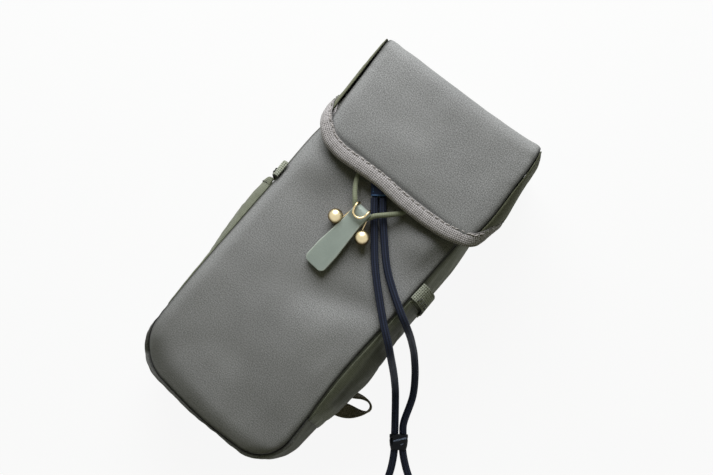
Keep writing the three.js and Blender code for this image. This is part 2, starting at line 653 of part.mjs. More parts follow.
function addPockets() {
  const sheet = pocketSheet();
  add("side_pocket_right", sheet, "gusset");
  add("side_pocket_left", mirrored(sheet), "gusset");
  const mouth = POCKET_MOUTH + GAP;
  const arch = archShape(HALF + GAP, ...POCKET_Z, POCKET_HEM_RISE, POCKET_HEM_THICK, 0.6);
  const hem = along(arch, mouth, mouth + POCKET_HEM, 10);
  add("pocket_hem_right", hem, "elastic");
  add("pocket_hem_left", mirrored(hem), "elastic");
}

// Belt loop: a wide webbing strap on the back, sewn down at both ends
function addBeltLoop() {
  const y0 = BELT_LOOP_Y - BELT_LOOP_LENGTH / 2;
  const y1 = BELT_LOOP_Y + BELT_LOOP_LENGTH / 2;
  const high = BACK_Z - GAP;
  const sewn = [y0 + BELT_LOOP_SEWN, y1 - BELT_LOOP_SEWN];
  const free = [sewn[0] + BELT_LOOP_SLOPE, sewn[1] - BELT_LOOP_SLOPE];
  const profile = polygon([
    [y0, high - WEBBING],
    [sewn[0], high - WEBBING],
    [free[0], 0],
    [free[1], 0],
    [sewn[1], high - WEBBING],
    [y1, high - WEBBING],
    [y1, high],
    [sewn[1], high],
    [free[1], WEBBING],
    [free[0], WEBBING],
    [sewn[0], high],
    [y0, high],
  ]);
  add("belt_loop", across(profile, -BELT_LOOP_WIDTH / 2, BELT_LOOP_WIDTH / 2), "webbing");
}

// Pull loop at the back of the right side, a folded webbing band with both ends in the seam
function addPullLoop() {
  const root = HALF + GAP;
  const tip = root + PULL_LOOP_REACH;
  const middle = FOOT + PULL_LOOP_RISE;
  const high = middle + PULL_LOOP_SPAN / 2;
  const low = middle - PULL_LOOP_SPAN / 2;
  const bend = middle + PULL_LOOP_SPAN / 4;
  const band = new THREE.Shape();
  band.moveTo(root, high);
  band.bezierCurveTo(root + 5, high + 0.2, tip - 0.5, bend + 5.8, tip, bend);
  band.bezierCurveTo(tip + 0.2, bend - 5, root + 7, low + 2.2, root, low);
  band.lineTo(root, low + WEBBING);
  band.bezierCurveTo(root + 6.6, low + 3.4, tip - 1.2, bend - 4.4, tip - WEBBING, bend);
  band.bezierCurveTo(tip - 1.8, bend + 4, root + 5, high - 1, root, high - WEBBING);
  const back = BACK_Z + FOAM_INSET;
  add("pull_loop", raised(band, back, back + PULL_LOOP_WIDTH, 12), "webbing");
}

// Lanyard: a webbing anchor, a moulded connector, one braided cord and a slider on its two strands
function placeLanyard(solid) {
  const turn = new THREE.Matrix4().makeRotationZ(LANYARD_TURN);
  turn.setPosition(CONNECTOR_FOOT[0], CONNECTOR_FOOT[1], 0);
  return solidOf(geometryOf(solid).applyMatrix4(turn));
}

function addLanyard() {
  const low = FRONT_Z + GAP;
  const high = CORD_Z + CORD_DIAMETER / 2;
  const half = CONNECTOR_WIDTH / 2;
  const slot = ANCHOR_WIDTH / 2 + GAP;
  const barLow = CONNECTOR_LENGTH + CONNECTOR_SLOT;
  const barHigh = barLow + CONNECTOR_BAR;
  const middle = (low + high) / 2;
  const room = (high - low) / 2 - ANCHOR_WEBBING + 0.27;
  const body = block(-half, half, 0, barHigh, low, high);
  const opening = block(-slot, slot, CONNECTOR_LENGTH, barHigh + 1, low - 1, high + 1);
  const bar = block(-half, half, barLow, barHigh, middle - room + GAP, middle + room - GAP);
  add("lanyard_connector", placeLanyard(join(cut(body, opening), bar)), "plastic");
  const foot = CONNECTOR_LENGTH + GAP;
  const strap = polygon([
    [foot, low],
    [CONNECTOR_LENGTH + ANCHOR_LENGTH, low],
    [CONNECTOR_LENGTH + ANCHOR_LENGTH, low + 2 * ANCHOR_WEBBING],
    [barHigh + 2.4, high],
    [foot, high],
  ]);
  const eye = block(-half, half, foot + ANCHOR_WEBBING, barHigh + GAP, middle - room, middle + room);
  const anchor = cut(across(strap, -ANCHOR_WIDTH / 2, ANCHOR_WIDTH / 2), eye);
  add("lanyard_anchor", placeLanyard(anchor), "webbing");
  add("lanyard_cord", tube(LANYARD_ROUTE, CORD_DIAMETER, LANYARD_STEPS, 8), "cord");
  addSlider();
}

// An oval passage with the two strands side by side, in a block with chamfered corners
function addSlider() {
  const reach = STRAND_SPACING / 2;
  const passage = new THREE.Shape();
  passage.absarc(reach, 0, SLIDER_ROOM, -Math.PI / 2, Math.PI / 2);
  passage.absarc(-reach, 0, SLIDER_ROOM, Math.PI / 2, 1.5 * Math.PI);
  const height = SLIDER_ROOM + SLIDER_WALL;
  const width = reach + height;
  const corner = SLIDER_CHAMFER;
  const casing = polygon([
    [-width + corner, -height],
    [width - corner, -height],
    [width, -height + corner],
    [width, height - corner],
    [width - corner, height],
    [-width + corner, height],
    [-width, height - corner],
    [-width, -height + corner],
  ]);
  const whole = cut(
    raised(casing, -SLIDER_LENGTH / 2, SLIDER_LENGTH / 2),
    raised(passage, -SLIDER_LENGTH, SLIDER_LENGTH, 8),
  );
  const upright = new THREE.Matrix4().makeRotationX(Math.PI / 2);
  const turn = new THREE.Matrix4().makeRotationZ(LANYARD_TURN).multiply(upright);
  turn.setPosition(...SLIDER_AT, SLIDER_Z);
  add("lanyard_slider", solidOf(geometryOf(whole).applyMatrix4(turn)), "plastic");
}

addShell();
addFoam();
addLining();
addMouthBinding();
addHingeTape();
addHood();
addHoodBinding();
addRivets();
addHookWire();
addElastic();
addPullTab();
addSideLoops();
addPockets();
addBeltLoop();
addPullLoop();
addLanyard();

export default group;
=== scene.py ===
import json
import math

import bmesh
import bpy
from mathutils import Matrix, Vector, noise
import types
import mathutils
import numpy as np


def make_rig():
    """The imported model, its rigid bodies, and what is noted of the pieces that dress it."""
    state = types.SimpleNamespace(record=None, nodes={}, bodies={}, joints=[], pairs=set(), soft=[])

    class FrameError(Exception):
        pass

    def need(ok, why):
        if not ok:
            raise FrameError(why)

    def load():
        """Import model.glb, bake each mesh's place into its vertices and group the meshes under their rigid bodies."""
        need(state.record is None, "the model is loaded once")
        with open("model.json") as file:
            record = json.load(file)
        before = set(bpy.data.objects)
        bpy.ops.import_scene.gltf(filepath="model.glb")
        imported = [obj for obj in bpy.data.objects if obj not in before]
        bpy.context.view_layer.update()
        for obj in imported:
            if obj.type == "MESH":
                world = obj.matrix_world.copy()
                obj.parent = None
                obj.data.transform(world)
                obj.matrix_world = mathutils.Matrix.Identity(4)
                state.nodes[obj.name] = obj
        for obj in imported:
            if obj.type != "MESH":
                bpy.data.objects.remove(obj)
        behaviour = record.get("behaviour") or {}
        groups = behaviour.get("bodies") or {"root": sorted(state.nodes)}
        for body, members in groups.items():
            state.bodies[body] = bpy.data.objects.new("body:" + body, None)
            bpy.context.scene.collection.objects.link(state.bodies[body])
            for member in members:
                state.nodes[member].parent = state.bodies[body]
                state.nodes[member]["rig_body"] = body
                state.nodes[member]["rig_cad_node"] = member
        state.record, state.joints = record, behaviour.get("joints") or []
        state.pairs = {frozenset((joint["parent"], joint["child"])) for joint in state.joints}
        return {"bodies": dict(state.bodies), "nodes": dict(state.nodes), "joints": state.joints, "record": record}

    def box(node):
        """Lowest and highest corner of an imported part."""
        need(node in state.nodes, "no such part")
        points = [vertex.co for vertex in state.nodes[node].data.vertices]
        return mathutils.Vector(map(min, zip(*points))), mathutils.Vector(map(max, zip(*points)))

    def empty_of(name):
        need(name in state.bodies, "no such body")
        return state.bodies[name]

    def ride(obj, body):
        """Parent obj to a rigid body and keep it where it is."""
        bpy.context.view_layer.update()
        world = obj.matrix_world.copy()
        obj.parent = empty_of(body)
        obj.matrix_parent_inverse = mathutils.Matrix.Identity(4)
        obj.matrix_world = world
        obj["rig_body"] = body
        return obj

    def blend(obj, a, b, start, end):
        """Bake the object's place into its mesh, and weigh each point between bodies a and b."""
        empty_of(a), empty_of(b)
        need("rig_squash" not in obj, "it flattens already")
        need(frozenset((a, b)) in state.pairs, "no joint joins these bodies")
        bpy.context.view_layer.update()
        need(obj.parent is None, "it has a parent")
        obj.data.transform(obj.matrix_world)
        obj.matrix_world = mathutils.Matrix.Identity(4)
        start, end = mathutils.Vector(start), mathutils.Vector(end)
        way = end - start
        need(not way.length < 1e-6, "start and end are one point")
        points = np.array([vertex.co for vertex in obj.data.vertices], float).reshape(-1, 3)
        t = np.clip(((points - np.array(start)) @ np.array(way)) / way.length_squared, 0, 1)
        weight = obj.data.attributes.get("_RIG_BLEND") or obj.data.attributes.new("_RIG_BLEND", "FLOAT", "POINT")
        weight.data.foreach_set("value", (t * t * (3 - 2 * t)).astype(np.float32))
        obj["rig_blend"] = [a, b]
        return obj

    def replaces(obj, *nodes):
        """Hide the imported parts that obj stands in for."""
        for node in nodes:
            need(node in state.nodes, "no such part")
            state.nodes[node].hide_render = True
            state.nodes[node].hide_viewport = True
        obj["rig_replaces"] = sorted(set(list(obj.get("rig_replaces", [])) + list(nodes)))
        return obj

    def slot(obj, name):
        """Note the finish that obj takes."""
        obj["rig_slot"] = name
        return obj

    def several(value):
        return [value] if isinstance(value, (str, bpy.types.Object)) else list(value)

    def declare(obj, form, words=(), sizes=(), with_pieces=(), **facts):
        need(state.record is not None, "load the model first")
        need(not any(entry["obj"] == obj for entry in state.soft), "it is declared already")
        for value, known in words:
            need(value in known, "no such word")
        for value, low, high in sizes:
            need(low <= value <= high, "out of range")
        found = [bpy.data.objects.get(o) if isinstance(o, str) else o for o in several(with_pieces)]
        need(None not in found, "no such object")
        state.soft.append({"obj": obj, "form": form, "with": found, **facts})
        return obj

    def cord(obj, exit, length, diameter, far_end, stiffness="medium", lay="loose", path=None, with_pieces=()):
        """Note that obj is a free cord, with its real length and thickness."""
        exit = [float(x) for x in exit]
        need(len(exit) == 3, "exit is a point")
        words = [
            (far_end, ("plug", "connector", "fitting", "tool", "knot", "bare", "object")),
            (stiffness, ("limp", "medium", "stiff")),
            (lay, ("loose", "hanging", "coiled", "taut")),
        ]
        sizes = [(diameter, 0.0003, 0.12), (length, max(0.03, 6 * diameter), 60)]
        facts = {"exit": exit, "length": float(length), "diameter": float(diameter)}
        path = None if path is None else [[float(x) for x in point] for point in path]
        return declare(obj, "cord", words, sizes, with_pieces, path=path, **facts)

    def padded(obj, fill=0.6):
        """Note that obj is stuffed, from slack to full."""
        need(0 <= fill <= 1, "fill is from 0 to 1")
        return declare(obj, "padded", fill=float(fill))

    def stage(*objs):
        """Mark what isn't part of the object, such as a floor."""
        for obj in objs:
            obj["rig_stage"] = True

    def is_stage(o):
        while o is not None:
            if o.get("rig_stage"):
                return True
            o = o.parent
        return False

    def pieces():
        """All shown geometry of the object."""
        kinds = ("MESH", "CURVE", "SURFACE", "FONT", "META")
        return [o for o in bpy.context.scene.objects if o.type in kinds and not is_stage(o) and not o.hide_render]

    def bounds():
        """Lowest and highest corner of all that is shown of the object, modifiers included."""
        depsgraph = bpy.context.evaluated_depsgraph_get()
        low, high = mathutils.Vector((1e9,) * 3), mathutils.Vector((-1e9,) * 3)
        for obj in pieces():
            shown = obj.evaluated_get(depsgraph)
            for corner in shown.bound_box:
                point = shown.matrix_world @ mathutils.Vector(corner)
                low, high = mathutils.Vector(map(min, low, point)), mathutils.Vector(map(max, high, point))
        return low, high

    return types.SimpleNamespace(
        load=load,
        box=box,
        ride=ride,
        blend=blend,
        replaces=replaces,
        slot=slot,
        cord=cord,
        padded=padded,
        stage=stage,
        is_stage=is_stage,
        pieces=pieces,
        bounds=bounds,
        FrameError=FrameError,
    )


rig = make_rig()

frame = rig.load()
cad_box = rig.bounds()
scene = bpy.context.scene

# A padded monocular pouch lying on its back. Shapes are worked out in millimetres in the frame's own axes:
# +Z out of the front panel, +Y towards the hood, +X to the right as one looks at the front.
MM = 0.001
UP = Vector((0, 0, 1))
SIDE_NAMES = {-1: "left", 1: "right"}

# The camera stands where the photograph was taken from
CAMERA_AT = Vector((118.6, -70.4, 1020.6))
CAMERA_AIM = Vector((4.3, 14.0, 62.0))
CAMERA_TURN = math.radians(39.5)
CAMERA_LENS = 101.0

# The lanyard's route, in metres: out of the connector, over the right edge, through the slider and back
CORD_DIAMETER = 3.8
CORD_LENGTH = 0.4007
CORD_TURN = math.radians(38)
LANYARD_ROUTE = [
    (-0.0012, 0.0345, 0.06245), (0.004, 0.0279, 0.06245), (0.0095, 0.0213, 0.06245),
    (0.0209, 0.0082, 0.06245), (0.0394, -0.0087, 0.0624), (0.0457, -0.0137, 0.0619),
    (0.0496, -0.0167, 0.0602), (0.0524, -0.0191, 0.056), (0.0545, -0.0209, 0.046),
    (0.0571, -0.0232, 0.029), (0.06, -0.0261, 0.013), (0.0635, -0.03, 0.0042),
    (0.0731, -0.0421, 0.003), (0.0768, -0.0469, 0.00315), (0.0811, -0.0524, 0.00315),
    (0.0854, -0.06, 0.0021), (0.0906, -0.0727, 0.00205), (0.0932, -0.076, 0.00205),
    (0.097, -0.0774, 0.00205), (0.1011, -0.0768, 0.00205), (0.1043, -0.0742, 0.00205),
    (0.1058, -0.0703, 0.00205), (0.1052, -0.0662, 0.00205), (0.1026, -0.063, 0.00205),
    (0.0915, -0.0558, 0.0021), (0.0844, -0.0498, 0.00315), (0.0801, -0.0443, 0.00315),
    (0.0765, -0.0395, 0.003), (0.0712, -0.0255, 0.0021), (0.0657, -0.017, 0.0032),
    (0.0598, -0.0102, 0.012), (0.0557, -0.0068, 0.03), (0.0531, -0.0053, 0.047),
    (0.0511, -0.0044, 0.056), (0.0486, -0.0031, 0.0603), (0.045, -0.0013, 0.06225),
    (0.0264, 0.0108, 0.06245), (0.013, 0.0242, 0.06245), (0.007, 0.0308, 0.06245),
    (0.002, 0.037, 0.06245),
]


def corners(node):
    """Lowest and highest corner of a node of the frame, in millimetres."""
    low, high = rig.box(node)
    return low / MM, high / MM


# Driving sizes, read from the frame
FOOT = corners("front_panel")[0].y
MOUTH, FRONT = corners("front_panel")[1].yz
BACK = corners("back_panel")[0].z
BASE_TOP = corners("base_gusset")[1].y
HEM = corners("hood_binding")[0].y
HOOD_TOP = corners("hood_top")[1].y
HOOD_BACK = corners("hood_side_right")[0].z
HOOD_FRONT = corners("hood_front")[1].z

# Soft shape. The panels are worked out on a plain pattern, 90 mm wide, and warped to the slumped outline.
PATTERN = 45.0
WALL_DEPTH = 56.0
CORNER_LEFT = 20.0
CORNER_RIGHT = 18.0
ARM = MOUTH - FOOT
AROUND = 2 * ARM + 2 * PATTERN

# Outlines as (place along Y, place along X): the front panel's two seams and the back panel's
FRONT_LEFT = [(-100, -47.2), (-75, -47.6), (-60, -47.4), (-45, -47.1), (-26, -46.6), (0, -46.0), (14, -45.8)]
FRONT_LEFT += [(28, -46.2), (40, -46.0), (50, -45.0), (62, -44.4), (94, -44.2)]
FRONT_RIGHT = [(-100, 41.3), (-78, 41.3), (-68, 41.2), (-60, 40.7), (-45, 40.3), (-30, 40.6), (-20, 41.2)]
FRONT_RIGHT += [(-10, 41.8), (4, 42.7), (25, 43.4), (41, 43.9), (94, 44.0)]
BACK_LEFT = [(-100, -44.0), (-80, -45.0), (-20, -45.0), (40, -44.6), (98, -43.4)]
BACK_RIGHT = [(-100, 40.8), (-80, 41.8), (-60, 43.4), (-30, 44.6), (40, 44.6), (98, 43.4)]

# The foot's two seams as (place along X, place along Y)
FRONT_FOOT = [(-45, -97.6), (-28, -98.6), (-14, -99.9), (4, -101.2), (18, -101.0), (30, -100.4), (45, -99.6)]
BACK_FOOT = [(-PATTERN, FOOT + 1.6), (PATTERN, FOOT + 1.6)]

# Broad swells of the front: height, place and reach across, place and reach along
FRONT_SWELLS = [(1.4, 24, 17, -34, 14), (4.4, 33, 12, 32, 11), (3.4, -30, 12, 31, 11)]

# How far the wall stands out between its seams, and how far from the middle the full pockets reach
SIDE_SWELL = {
    -1: [
        (-100, 3.2), (-92, 2.2), (-82, 0.9), (-72, 0.7), (-60, 0.9),
        (-20, 1.2), (30, 1.2), (50, 0.8), (94, 0.2),
    ],
    1: [
        (-100, 2.0), (-86, 1.9), (-70, 3.1), (-40, 4.0), (-13, 4.0),
        (20, 3.6), (38, 3.7), (48, 2.6), (58, 1.2), (94, 0.2),
    ],
}
FOOT_SWELL = [(-45, 3.1), (-36, 2.7), (-20, 1.7), (10, 1.7), (30, 1.6), (45, 2.0)]
POCKET_REACH = {
    -1: [(-68, 45.9), (-55, 47.5), (-40, 49.7), (-28, 51.5), (-15, 52.5), (-6, 53.2), (2, 52.8), (12, 51.4)],
    1: [(-68, 47.2), (-58, 48.7), (-45, 50.9), (-33, 52.0), (-21, 50.9), (-12, 49.2), (12, 48.4)],
}
POCKET_DEPTH = (0.215, 0.99)
POCKET_FOOT = -69.3
POCKET_MOUTH = {-1: 8.4, 1: 7.0}
POCKET_SPAN = 39.0

# The hood's pattern, seams, top edge and looser right side
HOOD_FOLD = 7.0
HOOD_CORNER = 13.0
HOOD_START = HEM + 2.0
HOOD_RUN = HOOD_TOP - HOOD_FOLD - HOOD_START
HOOD_BEND = math.pi / 2 * HOOD_FOLD
HOOD_LENGTH = HOOD_RUN + HOOD_BEND + HOOD_FRONT - HOOD_FOLD - BACK - 0.8
HOOD_SEAM = {
    -1: [(38, -41.0), (52, -42.3), (61, -43.3), (75, -44.0), (86, -44.6), (104, -45.0)],
    1: [(38, 48.0), (56, 49.5), (65, 49.8), (77, 49.1), (86, 48.8), (94, 47.9), (99, 46.7), (104, 46.2)],
}
HOOD_LIFT = [(-46, 1.4), (-38, 0.9), (-20, 1.1), (0, 1.6), (16, 1.8), (28, 2.6), (38, 3.8), (46, 5.0)]
HOOD_SIDE_OUT = {
    -1: [(50, 48.2), (58, 48.0), (66, 47.6), (104, 47.6)],
    1: [(50, 52.6), (56, 53.4), (62, 53.7), (68, 53.4), (76, 51.9), (85, 50.6), (95, 49.6), (104, 48.6)],
}
SIDE_HEM = [(5, 62.4), (19, 62.4), (34, 61.8), (46, 60.3), (54, 57.8), (59.3, 54.4), (63, 50.4), (66, 46.6)]
BINDING_WIDTH = 7.7

# The hem's edge and its outward direction, from the left side's back edge round to the right side's
HEM_STATIONS = [
    ((-46.6, 62.4, 5.2), (-1, 0, 0)), ((-46.8, 61.8, 25.0), (-1, 0, 0)),
    ((-46.8, 60.3, 42.0), (-1, 0, 0)), ((-47.6, 57.5, 54.0), (-1, 0, 0.1)),
    ((-48.0, 53.6, 60.5), (-0.94, -0.05, 0.34)), ((-47.0, 49.4, 64.4), (-0.75, -0.1, 0.65)),
    ((-44.8, 45.6, 66.8), (-0.5, -0.1, 0.85)), ((-42.0, 42.8, 68.2), (-0.25, -0.05, 0.96)),
    ((-39.4, 40.7, 68.9), (-0.08, 0, 1)), ((-36.0, 39.0, 69.1), (0, 0, 1)),
    ((-27.0, 37.5, 69.2), (0, 0, 1)), ((-14.0, 38.2, 69.3), (0, 0, 1)),
    ((-3.0, 38.7, 69.3), (0, 0, 1)), ((8.0, 37.9, 69.3), (0, 0, 1)),
    ((19.0, 37.8, 69.3), (0, 0, 1)), ((29.0, 38.3, 69.2), (0, 0, 1)),
    ((38.5, 39.7, 69.0), (0.02, 0, 1)), ((44.5, 41.5, 68.6), (0.12, 0, 1)),
    ((48.9, 43.2, 67.7), (0.35, -0.05, 0.95)), ((52.0, 46.2, 66.0), (0.65, -0.1, 0.75)),
    ((53.2, 50.2, 63.0), (0.9, -0.05, 0.45)), ((53.3, 54.4, 59.3), (0.98, 0, 0.2)),
    ((53.4, 57.8, 54.0), (1, 0, 0.05)), ((53.0, 60.3, 46.0), (1, 0, 0)),
    ((52.2, 61.8, 34.0), (1, 0, 0)), ((50.2, 62.4, 19.0), (1, 0, 0)),
    ((47.4, 62.4, 5.2), (1, 0, 0)),
]

# The closure: the rivets, the hook between them, and the fold of the pull tab round the elastic
RIVET_X = (-9.9, 6.9)
RIVET_Y = 15.4
HOOK_X = -1.5
WIRE_RADIUS = 0.55
TAB_PLACE = Vector((-1.1, 24.6, 66.4))
TAB_SLOPE = math.radians(7.6)
TAB_TURN = math.radians(-4.0)

# The side loops' upper runs as (height, place along Y, distance out), with each loop's width
SIDE_LOOPS = {
    1: (10.0, [
        (58.5, 13.0, -0.9), (58.7, 12.9, 1.2), (58.2, 12.7, 3.4), (56.2, 12.3, 5.6),
        (52.5, 12.0, 7.1), (46, 11.6, 7.4), (40, 11.0, 6.8),
    ]),
    -1: (9.0, [
        (58.0, 17.4, -1.2), (57.8, 17.4, 0.6), (57.0, 17.3, 1.6),
        (54, 17.2, 2.5), (48, 17.0, 2.9), (40, 16.8, 3.0),
    ]),
}


# Curves
def ramp(low, high, value):
    """0 at low, 1 at high, and a smooth rise between them."""
    share = min(max((value - low) / (high - low), 0.0), 1.0)
    return share * share * (3.0 - 2.0 * share)


def mix(start, end, share):
    return start + (end - start) * share


def fade(distance, reach):
    """1 at no distance, and about a third at the reach."""
    return math.exp(-distance / reach)


def bell(distance, reach):
    """1 in the middle, and about a third at the reach on either side."""
    return math.exp(-((distance / reach) ** 2))


def to_end(share):
    """How far a share from 0 to 1 is from its nearer end."""
    return min(share, 1 - share)


def hermite(u, low, high, leave, arrive):
    """A smooth step from low to high at u, which starts and ends with the given slopes."""
    shape = low * (2 * u**3 - 3 * u**2 + 1) + high * (3 * u**2 - 2 * u**3)
    return shape + leave * (u**3 - 2 * u**2 + u) + arrive * (u**3 - u**2)


def along(table, where):
    """A smooth curve through pairs of place and value."""
    if where <= table[0][0]:
        return table[0][1]
    if where >= table[-1][0]:
        return table[-1][1]
    part = 0
    while table[part + 1][0] < where:
        part += 1

    def slope(index):
        near, far = table[max(index - 1, 0)], table[min(index + 1, len(table) - 1)]
        return (far[1] - near[1]) / (far[0] - near[0])

    (start, low), (end, high) = table[part], table[part + 1]
    span = end - start
    return hermite((where - start) / span, low, high, span * slope(part), span * slope(part + 1))


def least(first, second, blend=2.5):
    """The smaller of two distances, with a smooth change from one to the other."""
    return -blend * math.log(math.exp(-first / blend) + math.exp(-second / blend))


def ripple(x, y, size, seed):
    """Smooth noise between about -1 and 1, with waves of the given size in millimetres."""
    return noise.noise(Vector((x / size, y / size, seed)))


def route_points(points, spacing):
    """Evenly spaced points on a centripetal Catmull-Rom curve through the given ones."""
    points = [Vector(point) for point in points]
    chain = [points[0] * 2 - points[1], *points, points[-1] * 2 - points[-2]]
    fine, steps = [], 16
    for before, start, end, after in zip(chain, chain[1:], chain[2:], chain[3:]):
        pairs = ((before, start), (start, end), (end, after))
        first, middle, last = ((far - near).length ** 0.5 for near, far in pairs)
        leave = (start - before) / first - (end - before) / (first + middle) + (end - start) / middle
        arrive = (end - start) / middle - (after - start) / (middle + last) + (after - end) / last
        fine += [hermite(step / steps, start, end, leave * middle, arrive * middle) for step in range(steps)]
    fine.append(points[-1])
    lengths = [0.0]
    for near, far in zip(fine, fine[1:]):
        lengths.append(lengths[-1] + (far - near).length)
    count = max(2, round(lengths[-1] / spacing))
    even, index = [], 0
    for step in range(count + 1):
        goal = lengths[-1] * step / count
        while index < len(fine) - 2 and lengths[index + 1] < goal:
            index += 1
        share = (goal - lengths[index]) / (lengths[index + 1] - lengths[index])
        even.append(fine[index].lerp(fine[index + 1], min(max(share, 0.0), 1.0)))
    return even


def route_length(points):
    return sum((far - near).length for near, far in zip(points, points[1:]))


def heading(points, index):
    """The direction of a route at one of its points."""
    return (points[min(index + 1, len(points) - 1)] - points[max(index - 1, 0)]).normalized()


def square_to(direction, way):
    """A direction turned as little as it takes to be square to another."""
    return (direction - way * direction.dot(way)).normalized()


# Meshes
def grid(columns, rows, place, flat, shade=None, lean=1.0):
    """A sheet whose points place(s, t) puts, with s and t from 0 to 1; flat is its cut size in millimetres.

    A lean above 1 draws the rows together towards t = 1.
    """
    mesh = bmesh.new()
    bmesh.ops.create_grid(mesh, x_segments=columns, y_segments=rows, size=0.5)
    flat_map = mesh.loops.layers.uv.new("flat")
    tone = mesh.verts.layers.float.new("shade")
    shares = {vert: (vert.co.x + 0.5, 1 - max(0.5 - vert.co.y, 0.0) ** lean) for vert in mesh.verts}
    for face in mesh.faces:
        for loop in face.loops:
            s, t = shares[loop.vert]
            loop[flat_map].uv = (s * flat[0] * MM, t * flat[1] * MM)
    for vert, (s, t) in shares.items():
        vert.co = place(s, t)
        vert[tone] = shade(s, t) if shade else 0.0
    return mesh


def sheet(columns, rows, place, flat, inner, shade=None, lean=1.0):
    """A grid whose faces look away from the inner point."""
    mesh = grid(columns, rows, place, flat, shade, lean)
    mesh.normal_update()
    inner = Vector(inner)
    outward = 0.0
    for face in mesh.faces:
        outward += (face.calc_center_median() - inner).dot(face.normal) * face.calc_area()
    if outward < 0:
        bmesh.ops.reverse_faces(mesh, faces=mesh.faces)
    return mesh


def tube(points, around, radius, shade=None):
    """A closed tube along a route. radius(angle, share) may change round it and along it."""
    last = len(points) - 1
    tangents, normals, normal = [], [], UP
    for index in range(last + 1):
        tangents.append(heading(points, index))
        normal = square_to(normal, tangents[-1])
        normals.append(normal)

    def place(s, t):
        index = round(s * last)
        angle = 2 * math.pi * t
        side = tangents[index].cross(normals[index])
        return points[index] + (normals[index] * math.cos(angle) + side * math.sin(angle)) * radius(angle, s)

    girth = 2 * math.pi * radius(0.0, 0.5)
    mesh = grid(last, around, place, (route_length(points), girth), shade)
    bmesh.ops.remove_doubles(mesh, verts=mesh.verts, dist=0.002)
    bmesh.ops.holes_fill(mesh, edges=[edge for edge in mesh.edges if edge.is_boundary], sides=0)
    bmesh.ops.recalc_face_normals(mesh, faces=mesh.faces)
    return mesh


def turned(profile, centre, steps, shade):
    """A profile of radii and heights, turned about an upright axis through centre."""
    mesh = bmesh.new()
    mesh.loops.layers.uv.new("flat")
    tone = mesh.verts.layers.float.new("shade")
    ring = [mesh.verts.new((centre[0] + radius, centre[1], height)) for radius, height in profile]
    edges = [mesh.edges.new(pair) for pair in zip(ring, ring[1:])]
    axis = {"cent": (*centre, 0), "axis": UP, "angle": 2 * math.pi}
    bmesh.ops.spin(mesh, geom=ring + edges, steps=steps, use_merge=True, **axis)
    bmesh.ops.remove_doubles(mesh, verts=mesh.verts, dist=0.001)
    bmesh.ops.recalc_face_normals(mesh, faces=mesh.faces)
    for vert in mesh.verts:
        vert[tone] = shade(vert.co.z)
    return mesh


def blocks(rows, place):
    """Blocks with rounded edges, each given by two corners and its rounding, moved to their place."""
    mesh = bmesh.new()
    mesh.loops.layers.uv.new("flat")
    for low, high, bevel in rows:
        low, high = Vector(low), Vector(high)
        spot = Matrix.Translation((low + high) / 2) @ Matrix.Diagonal((*(high - low), 1.0))
        made = bmesh.ops.create_cube(mesh, size=1.0, matrix=spot)["verts"]
        edges = list({edge for vert in made for edge in vert.link_edges})
        bmesh.ops.bevel(mesh, geom=edges, offset=bevel, affect="EDGES", segments=3, profile=0.5, material=-1)
    bmesh.ops.transform(mesh, matrix=place, verts=mesh.verts)
    return mesh


def add_stitch(mesh, middle, way, normal, length, thick):
    """One stitch: a small round-ended thread that lies along the cloth."""
    axes = Matrix((way, normal.cross(way).normalized(), normal)).transposed().to_4x4()
    place = Matrix.Translation(middle) @ axes @ Matrix.Diagonal((length / 2, thick / 2, thick / 2, 1.0))
    bmesh.ops.create_uvsphere(mesh, u_segments=6, v_segments=5, radius=1.0, matrix=place)


def stitch_row(mesh, points, normal_at, pitch, length, thick, sink=0.1, slant=0.0):
    """A row of stitches along a line of points. normal_at(share) is the cloth's outward direction."""
    total = route_length(points)
    count = max(1, round(total / pitch))
    spaced = route_points(points, total / (2 * count)) if len(points) > 2 else None
    for step in range(count):
        share = (step + 0.5) / count
        if spaced:
            index = min(2 * step + 1, len(spaced) - 2)
            middle, way = spaced[index], heading(spaced, index)
        else:
            middle, way = points[0].lerp(points[1], share), heading(points, 0)
        normal = square_to(normal_at(share), way)
        way = Matrix.Rotation(slant, 3, normal) @ way
        add_stitch(mesh, middle + normal * (thick / 2 - sink), way, normal, length, thick)


def piece(name, mesh, finish, body, stands_for=(), wall=0.0, centred=False, levels=1):
    """Turns a mesh in millimetres into a piece that rides on its body. A wall thickens it inwards."""
    bmesh.ops.scale(mesh, vec=(MM, MM, MM), verts=mesh.verts)
    for face in mesh.faces:
        face.smooth = True
    data = bpy.data.meshes.new(name)
    mesh.to_mesh(data)
    mesh.free()
    made = bpy.data.objects.new(name, data)
    scene.collection.objects.link(made)
    data.materials.append(finish["material"])
    if wall:
        solid = made.modifiers.new("wall", "SOLIDIFY")
        solid.thickness = wall * MM
        solid.offset = 0.0 if centred else -1.0
    if levels:
        smooth = made.modifiers.new("smooth", "SUBSURF")
        smooth.levels = smooth.render_levels = levels
    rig.ride(made, body)
    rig.slot(made, finish["slot"])
    if stands_for:
        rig.replaces(made, *([stands_for] if isinstance(stands_for, str) else stands_for))
    return made


# Finishes
def linear(code):
    """The linear colour of an sRGB hex value."""
    parts = [int(code[place : place + 2], 16) / 255 for place in (1, 3, 5)]
    return (*(part / 12.92 if part <= 0.04045 else ((part + 0.055) / 1.055) ** 2.4 for part in parts), 1.0)


def add_node(tree, kind, inputs, output=0, **settings):
    """One shader node with its settings, its values and its links; gives back one of its outputs."""
    node = tree.nodes.new("ShaderNode" + kind)
    for name, value in settings.items():
        setattr(node, name, value)
    for name, value in inputs.items():
        if isinstance(value, bpy.types.NodeSocket):
            tree.links.new(value, node.inputs[name])
        else:
            node.inputs[name].default_value = value
    return node.outputs[output]


